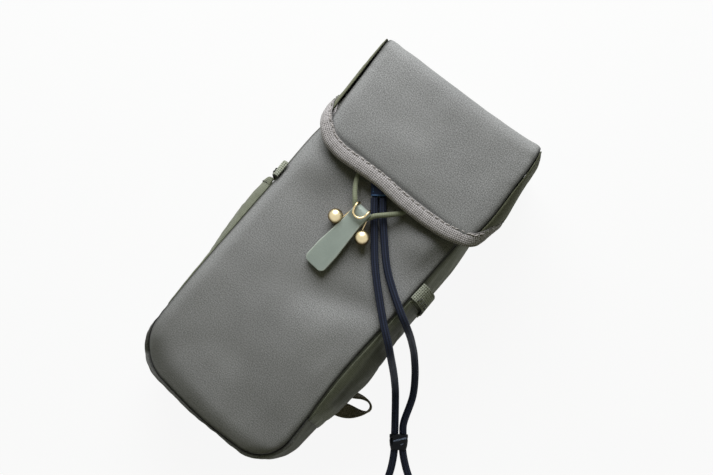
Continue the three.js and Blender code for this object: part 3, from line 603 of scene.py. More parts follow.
def start_finish(name, slot, flat=True, **shader):
    """A material with its shader values, its tree, and the coordinates that its patterns read.

    Cloth and cords read their own cut pattern, in metres, and hard pieces their place in the frame.
    """
    material = bpy.data.materials.new(name)
    material.use_nodes = True
    tree = material.node_tree
    sockets = tree.nodes["Principled BSDF"].inputs
    for socket, value in shader.items():
        sockets[socket.replace("_", " ")].default_value = value
    if flat:
        where = add_node(tree, "UVMap", {}, "UV", uv_map="flat")
    else:
        where = add_node(tree, "TexCoord", {}, "Object")
    return {"material": material, "slot": slot}, tree, where


def wave_scale(pitch):
    """The wave texture's scale for bands of a pitch in millimetres: it runs 20 radians a unit."""
    return 2 * math.pi / (20 * pitch * MM)


def noise_scale(grain):
    """The noise texture's scale for grains of a size in millimetres."""
    return 1 / (grain * MM)


def crossing(tree, where, along_x, along_y):
    """Bands across and along a cloth, at two pitches in millimetres."""
    return [
        add_node(tree, "TexWave", {"Vector": where, "Scale": wave_scale(pitch)}, "Fac", bands_direction=way)
        for way, pitch in (("X", along_x), ("Y", along_y))
    ]


def threads(tree, where, along_x, along_y, bend=0.35):
    """Warp and weft of a plain weave, as a height from 0 to 1, with slightly uneven threads."""
    uneven = add_node(tree, "TexNoise", {"Vector": where, "Scale": noise_scale(4.0)}, "Color")
    offset = add_node(tree, "VectorMath", {0: uneven, "Scale": bend * MM}, operation="SCALE")
    moved = add_node(tree, "VectorMath", {0: where, 1: offset}, operation="ADD")
    warp, weft = crossing(tree, moved, along_x, along_y)
    both = add_node(tree, "Math", {0: warp, 1: weft}, operation="ADD")
    return add_node(tree, "Math", {0: both, 1: 0.5}, operation="MULTIPLY")


def weighed(tree, total, *parts):
    """A number plus several patterns, each times its weight."""
    for weight, pattern in parts:
        total = add_node(tree, "Math", {0: pattern, 1: weight, 2: total}, operation="MULTIPLY_ADD")
    return total


def finished(start, low, high, share, relief=None, depth=0.0, edge=None, way="MULTIPLY"):
    """Colours a surface between two tones and gives it a relief of a depth in millimetres.

    Where the piece's shade attribute is 1, the edge colour is multiplied in or mixed in.
    """
    finish, tree, _ = start
    shader = tree.nodes["Principled BSDF"].inputs
    mixed = {"Factor": share, "A": linear(low), "B": linear(high)}
    colour = add_node(tree, "Mix", mixed, "Result", data_type="RGBA")
    if edge:
        shade = add_node(tree, "Attribute", {}, "Fac", attribute_name="shade")
        mixed = {"Factor": shade, "A": colour, "B": linear(edge)}
        colour = add_node(tree, "Mix", mixed, "Result", data_type="RGBA", blend_type=way)
    tree.links.new(colour, shader["Base Color"])
    if relief:
        bump = add_node(tree, "Bump", {"Height": relief, "Distance": depth * MM, "Strength": 1.0})
        tree.links.new(bump, shader["Normal"])
    return finish


# Dust and shadow that gather in a seam
SEAM = "#3a3a34"


def polyester_canvas(name, low, high):
    """Piece-dyed polyester canvas, brushed matt: a fine heather of lighter and darker fibre ends."""
    start = start_finish(name, "shell_fabric", Roughness=0.88, Sheen_Weight=0.1, Specular_IOR_Level=0.2)
    _, tree, where = start
    # The heather's flecks are near 0.3 mm and its threads 0.5 mm, drawn at 0.5 and 1.1 mm so that they show
    fleck = add_node(tree, "TexNoise", {"Vector": where, "Scale": noise_scale(0.5), "Roughness": 0.7}, "Fac")
    cloud = add_node(tree, "TexNoise", {"Vector": where, "Scale": noise_scale(38.0)}, "Fac")
    weave = threads(tree, where, 1.1, 1.1)
    share = add_node(tree, "MapRange", {"Value": fleck, "From Min": 0.33, "From Max": 0.67})
    share = weighed(tree, share, (0.1, weave), (0.4, cloud))
    share = add_node(tree, "MapRange", {"Value": share, "From Min": 0.1, "From Max": 1.4})
    return finished(start, low, high, share, weighed(tree, fleck, (0.2, weave)), 0.09, SEAM)


def plain_nylon():
    """Thin olive plain-weave nylon: a slight gloss on its folds."""
    shader = {"Roughness": 0.68, "Sheen_Weight": 0.06, "Specular_IOR_Level": 0.25}
    start = start_finish("plain_nylon", "gusset_fabric", **shader)
    _, tree, where = start
    # The threads are near 0.3 mm, drawn at 0.85 mm so that they show
    weave = threads(tree, where, 0.85, 0.85)
    fleck = add_node(tree, "TexNoise", {"Vector": where, "Scale": noise_scale(0.9)}, "Fac")
    cloud = add_node(tree, "TexNoise", {"Vector": where, "Scale": noise_scale(9.0)}, "Fac")
    share = weighed(tree, -0.4, (0.9, fleck), (0.5, weave), (0.8, cloud))
    return finished(start, "#3f4232", "#797c6b", share, weighed(tree, weave, (0.5, fleck)), 0.1, SEAM)


def closed_foam():
    """Closed-cell foam sheet: dark and dull, with fine cells."""
    start = start_finish("closed_cell_foam", "foam_sheet", Roughness=0.95)
    _, tree, where = start
    # The cells are near 0.3 mm, drawn at 0.8 mm so that they show
    cells = add_node(tree, "TexVoronoi", {"Vector": where, "Scale": noise_scale(0.8)}, "Distance")
    return finished(start, "#2e2e2e", "#454545", cells, cells, 0.1)


def taffeta():
    """Smooth polyester taffeta lining: fine threads with a soft shine."""
    start = start_finish("polyester_taffeta", "lining_fabric", Roughness=0.5, Sheen_Weight=0.2)
    _, tree, where = start
    # The threads are near 0.2 mm, drawn at 0.7 mm so that they show
    weave = threads(tree, where, 0.7, 0.7)
    return finished(start, "#7e7e76", "#94948c", weave, weave, 0.04, SEAM)


def grosgrain():
    """Grosgrain tape: close ribs across the tape, each broken by the warp into small cells."""
    shader = {"Roughness": 0.85, "Sheen_Weight": 0.12, "Specular_IOR_Level": 0.2}
    start = start_finish("grosgrain_tape", "binding_tape", **shader)
    _, tree, where = start
    # The ribs are near 0.5 mm, drawn at 1 mm so that they show
    cells = threads(tree, where, 1.0, 0.95, bend=0.2)
    wear = add_node(tree, "TexNoise", {"Vector": where, "Scale": noise_scale(0.8), "Detail": 1.0}, "Fac")
    share = weighed(tree, -0.4, (0.9, cells), (0.9, wear))
    return finished(start, "#5b5758", "#cbc6c5", share, cells, 0.16, SEAM)


def woven_webbing(name, slot, low, high):
    """Woven webbing: a grid of heavy threads with dark gaps between them."""
    start = start_finish(name, slot, Roughness=0.82, Sheen_Weight=0.08, Specular_IOR_Level=0.2)
    _, tree, where = start
    warp, weft = crossing(tree, where, 1.1, 1.0)
    weave = add_node(tree, "Math", {0: warp, 1: weft}, operation="MAXIMUM")
    uneven = add_node(tree, "TexNoise", {"Vector": where, "Scale": noise_scale(0.9), "Detail": 1.0}, "Fac")
    share = weighed(tree, -0.45, (1.1, weave), (0.5, uneven))
    return finished(start, low, high, share, weave, 0.22, SEAM)


def elastic_cover():
    """Braided cover of a round elastic: fine diagonal yarns over rubber."""
    start = start_finish("braided_elastic", "elastic_cord", Roughness=0.75, Sheen_Weight=0.15)
    _, tree, where = start
    # The yarns are near 0.4 mm, drawn at 0.65 to 1.1 mm so that they show
    yarn = threads(tree, where, 1.1, 0.65, bend=0.1)
    return finished(start, "#62674f", "#7d826a", yarn, yarn, 0.03)


def coated_leather():
    """Split leather with a sage coating: a satin face with fine pebbling, paler on its cut edges."""
    start = start_finish("coated_leather", "coated_leather", Roughness=0.46)
    _, tree, where = start
    pebble = {"Vector": where, "Scale": noise_scale(0.55)}
    pebbles = add_node(tree, "TexVoronoi", pebble, "Distance", feature="SMOOTH_F1")
    cloud = add_node(tree, "TexNoise", {"Vector": where, "Scale": noise_scale(7.0), "Detail": 3.0}, "Fac")
    return finished(start, "#8b968e", "#9da79f", cloud, pebbles, 0.05, "#b4bcb0", "MIX")


def brass(name, low, high, roughness):
    """Plated brass, tumbled to a soft polish and faintly uneven; where a piece's shade attribute is set, painted shade
    darkens it to brown.
    """
    start = start_finish(name, "antique_brass", False, Metallic=1.0, Roughness=roughness)
    _, tree, where = start
    cloud = add_node(tree, "TexNoise", {"Vector": where, "Scale": noise_scale(3.0), "Detail": 4.0}, "Fac")
    # The shade attribute is painted shade: on the ball studs it darkens the brass below each crown
    shade = add_node(tree, "Attribute", {}, "Fac", attribute_name="shade")
    tone_less_shade = add_node(tree, "Math", {0: weighed(tree, 0.8, (0.35, cloud)), 1: shade}, operation="SUBTRACT")
    return finished(start, low, high, tone_less_shade, cloud, 0.02)


def navy_braid():
    """Braided polyester cord: yarn ridges that run lengthwise, with fine cross strokes; painted shade keeps the
    grooves between the ridges dark and the ridge tops paler.
    """
    shader = {"Roughness": 0.7, "Sheen_Weight": 0.03, "Specular_IOR_Level": 0.15}
    start = start_finish("navy_braid", "braided_cord", **shader)
    _, tree, where = start
    stroke = {"Vector": where, "Scale": wave_scale(1.1)}
    stroke = add_node(tree, "TexWave", stroke, "Fac", bands_direction="X")
    # Painted shade: the shade attribute is 1 on each ridge top and 0 in each groove
    ridge = add_node(tree, "Attribute", {}, "Fac", attribute_name="shade")
    share = add_node(tree, "Math", {0: weighed(tree, 0.7, (0.3, stroke)), 1: ridge}, operation="MULTIPLY")
    return finished(start, "#0c0e15", "#2d3448", share, stroke, 0.05)


def moulded_acetal(name, slot, low, high, roughness):
    """Moulded acetal: satin, with the faint flow and scuffs of a small moulding."""
    start = start_finish(name, slot, False, Roughness=roughness, Specular_IOR_Level=0.12)
    _, tree, where = start
    flow = add_node(tree, "TexNoise", {"Vector": where, "Scale": noise_scale(2.0), "Detail": 4.0}, "Fac")
    return finished(start, low, high, flow, flow, 0.03)


def sewing_thread(name, slot, low, high):
    """Bonded polyester thread: two twisted plies with a slight shine."""
    start = start_finish(name, slot, False, Roughness=0.6)
    _, tree, where = start
    plies = add_node(tree, "TexNoise", {"Vector": where, "Scale": noise_scale(0.5)}, "Fac")
    return finished(start, low, high, plies)


SHELL = polyester_canvas("brushed_polyester", "#4e4e4e", "#a9a9a8")
# A darker, more olive copy of the shell canvas for the hood's sides: painted shade
SHADED_SHELL = polyester_canvas("shaded_side_polyester", "#3d3f30", "#7d7e69")
NYLON = plain_nylon()
FOAM = closed_foam()
LINING = taffeta()
TAPE = grosgrain()
WEBBING = woven_webbing("olive_webbing", "webbing", "#5a5e50", "#b1b4a4")
# The pull loop's webbing is dark; these tones are lifted above its own colour, painted light where it lies in the
# pouch's shadow
DARK_WEBBING = woven_webbing("dark_webbing", "dark_webbing", "#857d71", "#b8b0a1")
HEM_ELASTIC = woven_webbing("elastic_tape", "elastic_tape", "#565947", "#7a7d6a")
ELASTIC = elastic_cover()
LEATHER = coated_leather()
BRASS = brass("antique_brass", "#735830", "#ddcea6", 0.36)
WIRE_BRASS = brass("aged_brass_wire", "#55462f", "#d0bd92", 0.24)
BRAID = navy_braid()
BLUE_PLASTIC = moulded_acetal("blue_acetal", "blue_plastic", "#10192b", "#20355a", 0.3)
# A paler copy of the connector's blue plastic, for its painted highlight
HIGHLIGHT_BLUE_PLASTIC = moulded_acetal("highlight_blue_acetal", "blue_plastic", "#3c5a86", "#5f80ae", 0.3)
DARK_PLASTIC = moulded_acetal("dark_acetal", "dark_plastic", "#07090d", "#12171f", 0.24)
# A pale copy of the slider's dark plastic, for its painted highlight
HIGHLIGHT_PLASTIC = moulded_acetal("painted_highlight_acetal", "dark_plastic", "#66728f", "#a3afcc", 0.3)
PALE_THREAD = sewing_thread("pale_thread", "binding_tape", "#948e8a", "#bdb7b3")
DARK_THREAD = sewing_thread("dark_thread", "webbing", "#1c1d19", "#33352d")
# A darker copy of the pale thread, for the hem's stitches on the hood's sides: painted shade
SHADED_THREAD = sewing_thread("painted_shade_thread", "binding_tape", "#4e4f43", "#696a5c")


# Camera
def set_camera():
    data = bpy.data.cameras.new("camera")
    data.lens, data.sensor_width = CAMERA_LENS, 36.0
    data.clip_start, data.clip_end = 0.05, 20.0
    camera = bpy.data.objects.new("camera", data)
    scene.collection.objects.link(camera)
    back = (CAMERA_AT - CAMERA_AIM).normalized()
    right = Vector((-math.sin(CAMERA_TURN), math.cos(CAMERA_TURN), 0.0)).cross(back).normalized()
    axes = Matrix((right, back.cross(right), back)).transposed().to_4x4()
    camera.matrix_world = Matrix.Translation(CAMERA_AT * MM) @ axes
    scene.camera = camera


# Lanyard
def lanyard_cord():
    points = route_points([Vector(point) / MM for point in LANYARD_ROUTE], 0.7)
    ridges, groove = 8, 0.2

    def radius(angle, share):
        return CORD_DIAMETER / 2 - groove * (1 - abs(math.cos(ridges * angle / 2)))

    # The shade attribute, 1 on each ridge and 0 in each groove, paints shade into the grooves
    mesh = tube(points, 66, radius, lambda s, t: abs(math.cos(ridges * math.pi * t)) ** 1.6)
    made = piece("lanyard_braid", mesh, BRAID, "root", "lanyard_cord", levels=0)
    return made, [point * MM for point in points]


def lanyard_slider():
    """A moulded slider: an oval passage for both strands, chamfered sides, a groove across it, and two pale raised
    bars on top that are a painted highlight.
    """
    length, half_width, half_height, chamfer = 8.0, 4.7, 3.1, 1.4
    strand, passage, narrow = 2.0, 2.0, 0.84
    low, high = corners("lanyard_slider")
    casing = Matrix.Translation((low + high) / 2) @ Matrix.Rotation(CORD_TURN, 4, "Z")

    def ring(angle, share):
        """A point of the cross section, from the passage (0) to the casing (1)."""
        across, up = math.cos(angle), math.sin(angle)
        reach = 1 / max(abs(across) / half_width, abs(up) / half_height, 1e-6)
        corner = (half_width + half_height - chamfer) / max(abs(across) + abs(up), 1e-6)
        outer = Vector((across, up)) * min(reach, corner)
        shift = math.copysign(strand, across) * min(1, abs(across) * 3)
        return Vector((across * passage + shift, up * passage)).lerp(outer, share)

    # The section as (share of the wall, place along the length), round the outside and back inside
    wall = [(0, -0.5), (0.8, -0.5), (1, -0.44), (1, -0.2), (1, 0.1), (0.84, 0.19), (0.84, 0.26)]
    wall += [(1, 0.31), (1, 0.45), (0.8, 0.5), (0, 0.5), (0, 0.2), (0, -0.2), (0, -0.5)]

    def place(s, t):
        share, axial = wall[round(t * (len(wall) - 1))]
        x, z = ring(2 * math.pi * s, share)
        taper = mix(1, mix(narrow, 1, ramp(-0.5, 0.0, axial)), share)
        return casing @ Vector((x * taper, axial * length, z))

    mesh = grid(48, len(wall) - 1, place, (30, 20))
    bmesh.ops.remove_doubles(mesh, verts=mesh.verts, dist=0.01)
    bmesh.ops.recalc_face_normals(mesh, faces=mesh.faces)
    made = piece("slider_block", mesh, DARK_PLASTIC, "slider", "lanyard_slider", levels=0)
    edges = made.modifiers.new("edges", "BEVEL")
    edges.width, edges.segments, edges.limit_method = 0.18 * MM, 2, "ANGLE"
    edges.angle_limit = math.radians(32)
    # Painted highlight: two pale bars, raised a little above the top face, stand for the glints along its edge
    rib = [
        ((-3.4, -0.45, half_height - 0.5), (3.5, 0.45, half_height + 0.1), 0.25),
        ((-0.4, -2.9, half_height - 0.5), (1.4, -2.3, half_height + 0.05), 0.2),
    ]
    turn = casing @ Matrix.Translation((0.5, 1.1, 0)) @ Matrix.Rotation(math.radians(15), 4, "Z")
    piece("slider_highlight_bars", blocks(rib, turn), HIGHLIGHT_PLASTIC, "slider", levels=0)
    return made


def lanyard_connector(turn):
    """A small moulded connector: a socket for both cord ends, two rails and a bar that the webbing holds, with a pale
    rim and bar on top as a painted highlight.
    """
    low, high = corners("lanyard_connector")
    bottom, top, half = low.z, high.z, 3.8
    middle = (bottom + top) / 2
    moulding = [
        ((-half, 0.9, bottom), (half, 6.4, top), 0.6),
        ((-half + 0.3, 0, bottom + 0.25), (-0.35, 2.4, top - 0.2), 0.7),
        ((0.35, 0, bottom + 0.25), (half - 0.3, 2.4, top - 0.2), 0.7),
        ((-half, 5.4, bottom + 0.2), (-half + 1.3, 10.1, top - 0.2), 0.45),
        ((half - 1.3, 5.4, bottom + 0.2), (half, 10.1, top - 0.2), 0.45),
        ((-half, 8.1, middle - 0.9), (half, 10.1, middle + 0.9), 0.5),
    ]
    # Painted highlight: a pale rim across the top at the mouth and a short bar beside it stand for glints on its edges
    rim = [
        ((-half + 0.2, 0.35, top - 1.0), (half - 0.2, 1.1, top + 0.12), 0.25),
        ((-half + 1.0, 2.2, top - 0.4), (-half + 1.45, 4.4, top + 0.1), 0.15),
    ]
    piece("connector_moulding", blocks(moulding, turn), BLUE_PLASTIC, "root", "lanyard_connector", levels=0)
    piece("connector_highlight_rim", blocks(rim, turn), HIGHLIGHT_BLUE_PLASTIC, "root", levels=0)


def lanyard_anchor(turn):
    """Narrow webbing round the connector's bar, sewn to the front panel."""
    bottom = corners("lanyard_anchor")[0].z + 0.5
    path = [(15.2, 0), (11.5, 0), (8.6, 0), (7.0, 1.0), (7.1, 2.4), (8.6, 3.0), (10.6, 2.7)]
    path += [(12.2, 1.3), (15.0, 1.0)]
    line = route_points([Vector((0, y, bottom + rise)) for y, rise in path], 0.5)
    last, width = len(line) - 1, 6

    def place(s, t):
        return turn @ (line[round(t * last)] + Vector(((s - 0.5) * width, 0, 0)))

    mesh = grid(6, last, place, (width, route_length(line)))
    piece("anchor_webbing", mesh, WEBBING, "root", "lanyard_anchor", wall=0.8, centred=True)


def make_lanyard():
    cord, path = lanyard_cord()
    slider = lanyard_slider()
    # The connector's own axes: its lower face at zero, and its length along Y
    turn = Matrix.Translation((0.2, HEM - 2.0, 0)) @ Matrix.Rotation(CORD_TURN, 4, "Z")
    lanyard_connector(turn)
    lanyard_anchor(turn)
    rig.cord(
        cord,
        exit=LANYARD_ROUTE[0],
        length=CORD_LENGTH,
        diameter=CORD_DIAMETER * MM,
        far_end="object",
        stiffness="limp",
        lay="loose",
        path=path,
        with_pieces=[slider],
    )


# Body
def rounded(x, y, half, foot, radius):
    """A point of a square-cornered sheet, moved so that its two lower corners are round."""
    out, down = abs(x) - (half - radius), (foot + radius) - y
    if out <= 0 or down <= 0:
        return x, y
    bend = 2 * radius * radius
    wide, deep = out * math.sqrt(1 - down * down / bend), down * math.sqrt(1 - out * out / bend)
    return math.copysign(half - radius + wide, x), foot + radius - deep


def warped(x, y, left, right, foot):
    """A pattern point's place in the slumped outline between two edges."""
    x, y = rounded(x, y, PATTERN, FOOT, CORNER_LEFT if x < 0 else CORNER_RIGHT)
    down = ramp(-55, FOOT, y) * (along(foot, x) - FOOT)
    return mix(along(left, y), along(right, y), (x / PATTERN + 1) / 2), y + down


def sagged(x, y):
    """How far the front sinks towards its foot, where the pouch is empty: most at the left corner."""
    corner = 3.5 * ramp(-12, -40, x) * max((-72 - y) / 28, 0.0) ** 1.5
    return (7.0 + (6.5 if x < 0 else 1.5) * (x / PATTERN) ** 2) * max((-22 - y) / 78, 0.0) ** 1.7 + corner


def roll(x, y):
    """How far the padded front lies below its flat level, over to the seams on its three sides."""
    left = mix(5.4, 2.6, ramp(-20, -80, y)) * max(1 - (x + PATTERN) / 7.5, 0.0) ** 2.2
    right = mix(0.8, 1.6, ramp(-50, -90, y)) * max(1 - (PATTERN - x) / 3.0, 0.0) ** 2.2
    empty = ramp(10, -40, x)
    foot = mix(2.6, 4.4, empty) * max(1 - (y - FOOT) / mix(9, 17, empty), 0.0) ** 2.2
    return (left**3 + right**3 + foot**3) ** (1 / 3) + sagged(x, y)


def rim_distance(x, y):
    """How far a pattern point lies from the seams on its three sides."""
    return max(least(PATTERN - abs(x), y - FOOT), 0.0)


def front_relief(x, y):
    """The dents and swells of the padded front, kept flat where the hook and the lanyard lie."""
    calm = 1 - ramp(-34, -4, y)
    turn = math.radians(21)
    u = (x - 17) * math.cos(turn) + (y + 16) * math.sin(turn)
    v = -(x - 17) * math.sin(turn) + (y + 16) * math.cos(turn)
    crease = -2.5 * bell(u, 24) * bell(v, mix(12, 6.5, ramp(-10, 36, x)))
    swells = 0.0
    for rise, mid_x, wide, mid_y, long in FRONT_SWELLS:
        swells += rise * bell(x - mid_x, wide) * bell(y - mid_y, long)
    waves = 0.8 * ripple(x, y, 34, 3.1) + 0.35 * ripple(x, y, 13, 7.7)
    return crease + swells + calm * (0.4 + waves) + (1 - calm) * 0.3 * (ripple(x, y, 30, 5.0) - 0.6)


def front_point(x, y):
    """The front cloth's place for a pattern point."""
    rim = rim_distance(x, y)
    pucker = 0.16 * fade(rim, 4) * ripple(x + 3 * y, y - x, 4.5, 1.3)
    height = FRONT - roll(x, y) + ramp(0, 9, rim) * front_relief(x, y) + pucker
    return Vector((*warped(x, y, FRONT_LEFT, FRONT_RIGHT, FRONT_FOOT), height))


def front_cloth():
    def spot(s, t):
        return mix(-PATTERN, PATTERN, s), mix(FOOT, MOUTH, t)

    def shade(s, t):
        return 0.8 * fade(rim_distance(*spot(s, t)), 0.45)

    mesh = sheet(56, 116, lambda s, t: front_point(*spot(s, t)), (2 * PATTERN, ARM), (0, 0, 30), shade)
    piece("front_cloth", mesh, SHELL, "root", "front_panel", wall=0.9)


def back_point(x, y):
    """The back cloth's place for a pattern point: flat where the pouch lies on it."""
    rim = rim_distance(x, y)
    height = BACK + 2.6 * max(1 - rim / 6, 0.0) ** 2.3 + 0.25 * ramp(0, 9, rim) * (1 + ripple(x, y, 26, 9.0))
    return Vector((*warped(x, y, BACK_LEFT, BACK_RIGHT, BACK_FOOT), height))


def back_cloth():
    top = HOOD_TOP - 1.8

    def place(s, t):
        return back_point(mix(-PATTERN, PATTERN, s), mix(FOOT, top, t))

    mesh = sheet(44, 98, place, (2 * PATTERN, top - FOOT), (0, 0, 30))
    piece("back_cloth", mesh, SHELL, "root", "back_panel", wall=0.9)


def rim_spot(way):
    """The pattern point at a way round the wall: from the right mouth round the foot to the left mouth."""
    if way < ARM:
        return PATTERN, MOUTH - way
    if way < ARM + 2 * PATTERN:
        return PATTERN - (way - ARM), FOOT
    return -PATTERN, FOOT + (way - ARM - 2 * PATTERN)


def way_of(side, y):
    """How far round the wall a place on one side lies."""
    return MOUTH - y if side > 0 else AROUND - (MOUTH - y)


def wall_line(way, depth):
    """A point between the back seam and the front seam, at a share of the depth."""
    x, y = rim_spot(way)
    return back_point(x, y).lerp(front_point(x, y), depth) + Vector((0, 0, mix(0.5, -0.4, depth)))


def wall_off(way, depth, out):
    """A point that stands out from the straight line between the seams."""
    around = wall_line(way + 1.5, depth) - wall_line(way - 1.5, depth)
    return wall_line(way, depth) + UP.cross(around).normalized() * out


def swell(way, depth):
    """How far the wall's cloth stands out, with its soft folds."""
    x, y = rim_spot(way)
    full = along(SIDE_SWELL[1 if x > 0 else -1], y) if y > FOOT else along(FOOT_SWELL, x)
    deep = depth * WALL_DEPTH
    folds = 0.7 * ripple(way * 0.6 + deep, deep * 0.5 - way * 0.3, 12, 20) + 0.4 * ripple(way, deep, 6, 30)
    rounded_off = math.sin(math.pi * depth) ** 0.42
    level = (1 - fade(1 - depth, 0.011)) * (1 - fade(depth, 0.05))
    return mix(rounded_off, level, ramp(-70, -86, y)) * (full + folds * (1 - ramp(36, 50, y)))


def wall_point(way, depth, out=0.0):
    """A point of the wall's cloth, or one that stands further out or in."""
    return wall_off(way, depth, swell(way, depth) + out)


def wall_sheet(columns, rows, start, end, low, high, out):
    """A sheet along the wall between two ways round it and two shares of its depth."""

    def place(s, t):
        return wall_point(mix(start, end, s), mix(low, high, t), out)

    inner = (0, (rim_spot(start)[1] + rim_spot(end)[1]) / 2 + 6, 30)
    return sheet(columns, rows, place, (abs(end - start), (high - low) * WALL_DEPTH), inner)


def side_cloth(side):
    """The strip down one side: thin cloth with soft folds, drawn in where it joins the foot's strip."""
    low_y, high_y = BASE_TOP + 0.5, MOUTH

    def place(s, t):
        y = mix(low_y, high_y, s)
        return wall_point(way_of(side, y), t, -0.5 * fade(y - low_y, 1.2))

    def shade(s, t):
        return 0.8 * fade(to_end(t) * 55, 0.5) + 0.7 * fade(s * (high_y - low_y), 0.9)

    mesh = sheet(96, 30, place, (high_y - low_y, 55), (0, 0, 30), shade)
    name = SIDE_NAMES[side]
    piece("side_cloth_" + name, mesh, NYLON, "root", "side_gusset_" + name, wall=0.8)


def base_cloth():
    """The strip round the foot."""
    start, end = way_of(1, BASE_TOP + 1.0), way_of(-1, BASE_TOP + 1.0)
    length = end - start

    def place(s, t):
        tuck = 0.1 * fade(to_end(s) * length, 0.5)
        pucker = 0.25 * ripple(s * length, 0, 3.4, 43) * fade(to_end(t) * WALL_DEPTH, 3)
        return wall_point(mix(start, end, s), t, pucker - tuck)

    def shade(s, t):
        return 0.85 * fade(to_end(t) * 55, 0.35) + 0.7 * fade(to_end(s) * length, 0.7)

    mesh = sheet(140, 36, place, (length, 54), (0, -60, 30), shade, 1.8)
    piece("base_cloth", mesh, SHELL, "root", "base_gusset", wall=0.9)


# Hood
def lifted(point):
    """The hood's top edge rises to the right."""
    rise = along(HOOD_LIFT, point.x) * ramp(58, 96, point.y) * mix(0.1, 1, ramp(8, 50, point.z))
    return point + Vector((0, rise, 0))


def hood_profile(way):
    """The hood's middle line, from the hem over the top fold and down: a point and its outward direction."""
    if way < HOOD_RUN:
        return Vector((0, HOOD_START + way, HOOD_FRONT)), Vector((0, 0, 1))
    if way < HOOD_RUN + HOOD_BEND:
        angle = (way - HOOD_RUN) / HOOD_FOLD
        out = Vector((0, math.sin(angle), math.cos(angle)))
        return Vector((0, HOOD_TOP - HOOD_FOLD, HOOD_FRONT - HOOD_FOLD)) + out * HOOD_FOLD, out
    return Vector((0, HOOD_TOP, HOOD_FRONT - HOOD_FOLD - (way - HOOD_RUN - HOOD_BEND))), Vector((0, 1, 0))


def hood_point(x, way):
    """The hood's front and top: a place across it, and a way from the hem over the fold and down the top."""
    rim = PATTERN - abs(x)
    x, y = rounded(x, HOOD_START + way, PATTERN, HOOD_START, HOOD_CORNER)
    way = y - HOOD_START
    point, out = hood_profile(way)
    puff = 2.0 * (1 - (x / PATTERN) ** 2) * ramp(-4, 25, way) * (1 - ramp(HOOD_RUN - 6, HOOD_RUN + 14, way))
    puff += 0.8 * ripple(x, way, 30, 12.0) * ramp(0, 10, rim) + 0.3 * ripple(x, way, 11, 13.0)
    corner = bell(way - HOOD_RUN + 4, 10) * fade(rim, 10)
    pucker = (0.16 + 0.9 * corner) * fade(rim, 6) * ripple(x * 1.3, way * 1.6, 5, 2.0)
    fullness, margin = (2.8, 6) if x < 0 else (1.4, 3)
    over = mix(fullness, 1.0, bell(way - HOOD_RUN - 5, 9)) * max(1 - rim / margin, 0.0) ** 2.2
    lift = puff - over + pucker - 0.8 * (1 - ramp(0, 9, way))
    seams = (along(HOOD_SEAM[side], point.y) for side in (-1, 1))
    point.x = mix(*seams, (x / PATTERN + 1) / 2)
    return lifted(point + out * lift)


def hood_cloth():
    """The hood's front and top, one cloth folded over the top edge and sewn to the sides."""

    def place(s, t):
        return hood_point(mix(-PATTERN, PATTERN, s), t * HOOD_LENGTH)

    def shade(s, t):
        return 0.9 * fade(to_end(s) * 2 * PATTERN, 0.6) + 0.8 * fade(abs(t * HOOD_LENGTH - 6.2), 0.8)

    mesh = sheet(56, 84, place, (2 * PATTERN, HOOD_LENGTH), (0, 60, 30), shade)
    piece("hood_cloth", mesh, SHELL, "hood", ("hood_front", "hood_top"), wall=0.9)


def hood_side_x(side, y, z):
    """The hood's side: close to the body on the left, looser on the right, drawn in to the front seam."""
    full = mix(47.1, along(HOOD_SIDE_OUT[side], y), ramp(HOOD_BACK, 45, z) ** 0.7)
    seam = abs(along(HOOD_SEAM[side], y)) + 0.2
    return side * mix(full, seam, max((z - 57) / (HOOD_FRONT - 2.0 - 57), 0.0) ** 2.6)


def hood_side_cloth(side):
    front, top, corner = HOOD_FRONT - (3.1 if side < 0 else 1.8), HOOD_TOP - 2.2, 1.2
    long, deep, face = 42, 62, 0.98

    def place(s, t):
        z = mix(HOOD_BACK, front, min(t / face, 1))
        y = mix(along(SIDE_HEM, z) + 1.8, top, s)
        z, y = rounded(z, -y, front, -top, corner)
        y = -y
        rim = least((1 - s) * long, (1 - t) * deep)
        folds = 0.45 * ripple(y, z * 0.7, 13, 50 + side) + 0.3 * ripple(y * 0.5, z, 6, 55)
        pucker = 0.35 * fade(rim, 4) * ripple(y + z, y - z, 3.4, 57)
        inward = 1.6 * fade((1 - s) * long, 2.5) * (1 - ramp(0.9, 1, t))
        slant = (along(SIDE_HEM, z + 1) - along(SIDE_HEM, z - 1)) / 2
        under_tape = 0.6 * (1 - ramp(4.5, 6.5, (y - along(SIDE_HEM, z)) / math.hypot(1, slant)))
        out = folds * ramp(0, 8, rim) + pucker * ramp(0, 2, rim) - inward - under_tape
        lip = 0.7 * ramp(0.9, face, t) - 0.8 * max((t - face) / (1 - face), 0.0)
        return lifted(Vector((hood_side_x(side, y, z) + side * (out + lip), y, z)))

    def shade(s, t):
        return 0.5 * fade((1 - s) * long, 0.8)

    mesh = sheet(36, 50, place, (44, deep), (0, 75, 35), shade)
    name = SIDE_NAMES[side]
    # The sides take the darker copy of the shell canvas, painted shade
    piece("hood_side_cloth_" + name, mesh, SHADED_SHELL, "hood", "hood_side_" + name, wall=0.8)


def hem_frames(spacing):
    """Evenly spaced edge points of the hem, each with its directions into the cloth and outward."""
    edges = route_points([edge for edge, _ in HEM_STATIONS], spacing)
    marks = [0.0]
    for near, far in zip(HEM_STATIONS, HEM_STATIONS[1:]):
        marks.append(marks[-1] + (Vector(far[0]) - Vector(near[0])).length)
    made = []
    for index, edge in enumerate(edges):
        way = marks[-1] * index / (len(edges) - 1)
        part = 0
        while part < len(marks) - 2 and marks[part + 1] < way:
            part += 1
        share = ramp(marks[part], marks[part + 1], way)
        outward = Vector(HEM_STATIONS[part][1]).lerp(Vector(HEM_STATIONS[part + 1][1]), share)
        hem_way = heading(edges, index)
        outward = square_to(outward, hem_way)
        fold = mix(1.6, 2.5, ramp(0.3, 0.98, outward.z))
        made.append((edge, outward.cross(hem_way).normalized(), outward, fold))
    return made


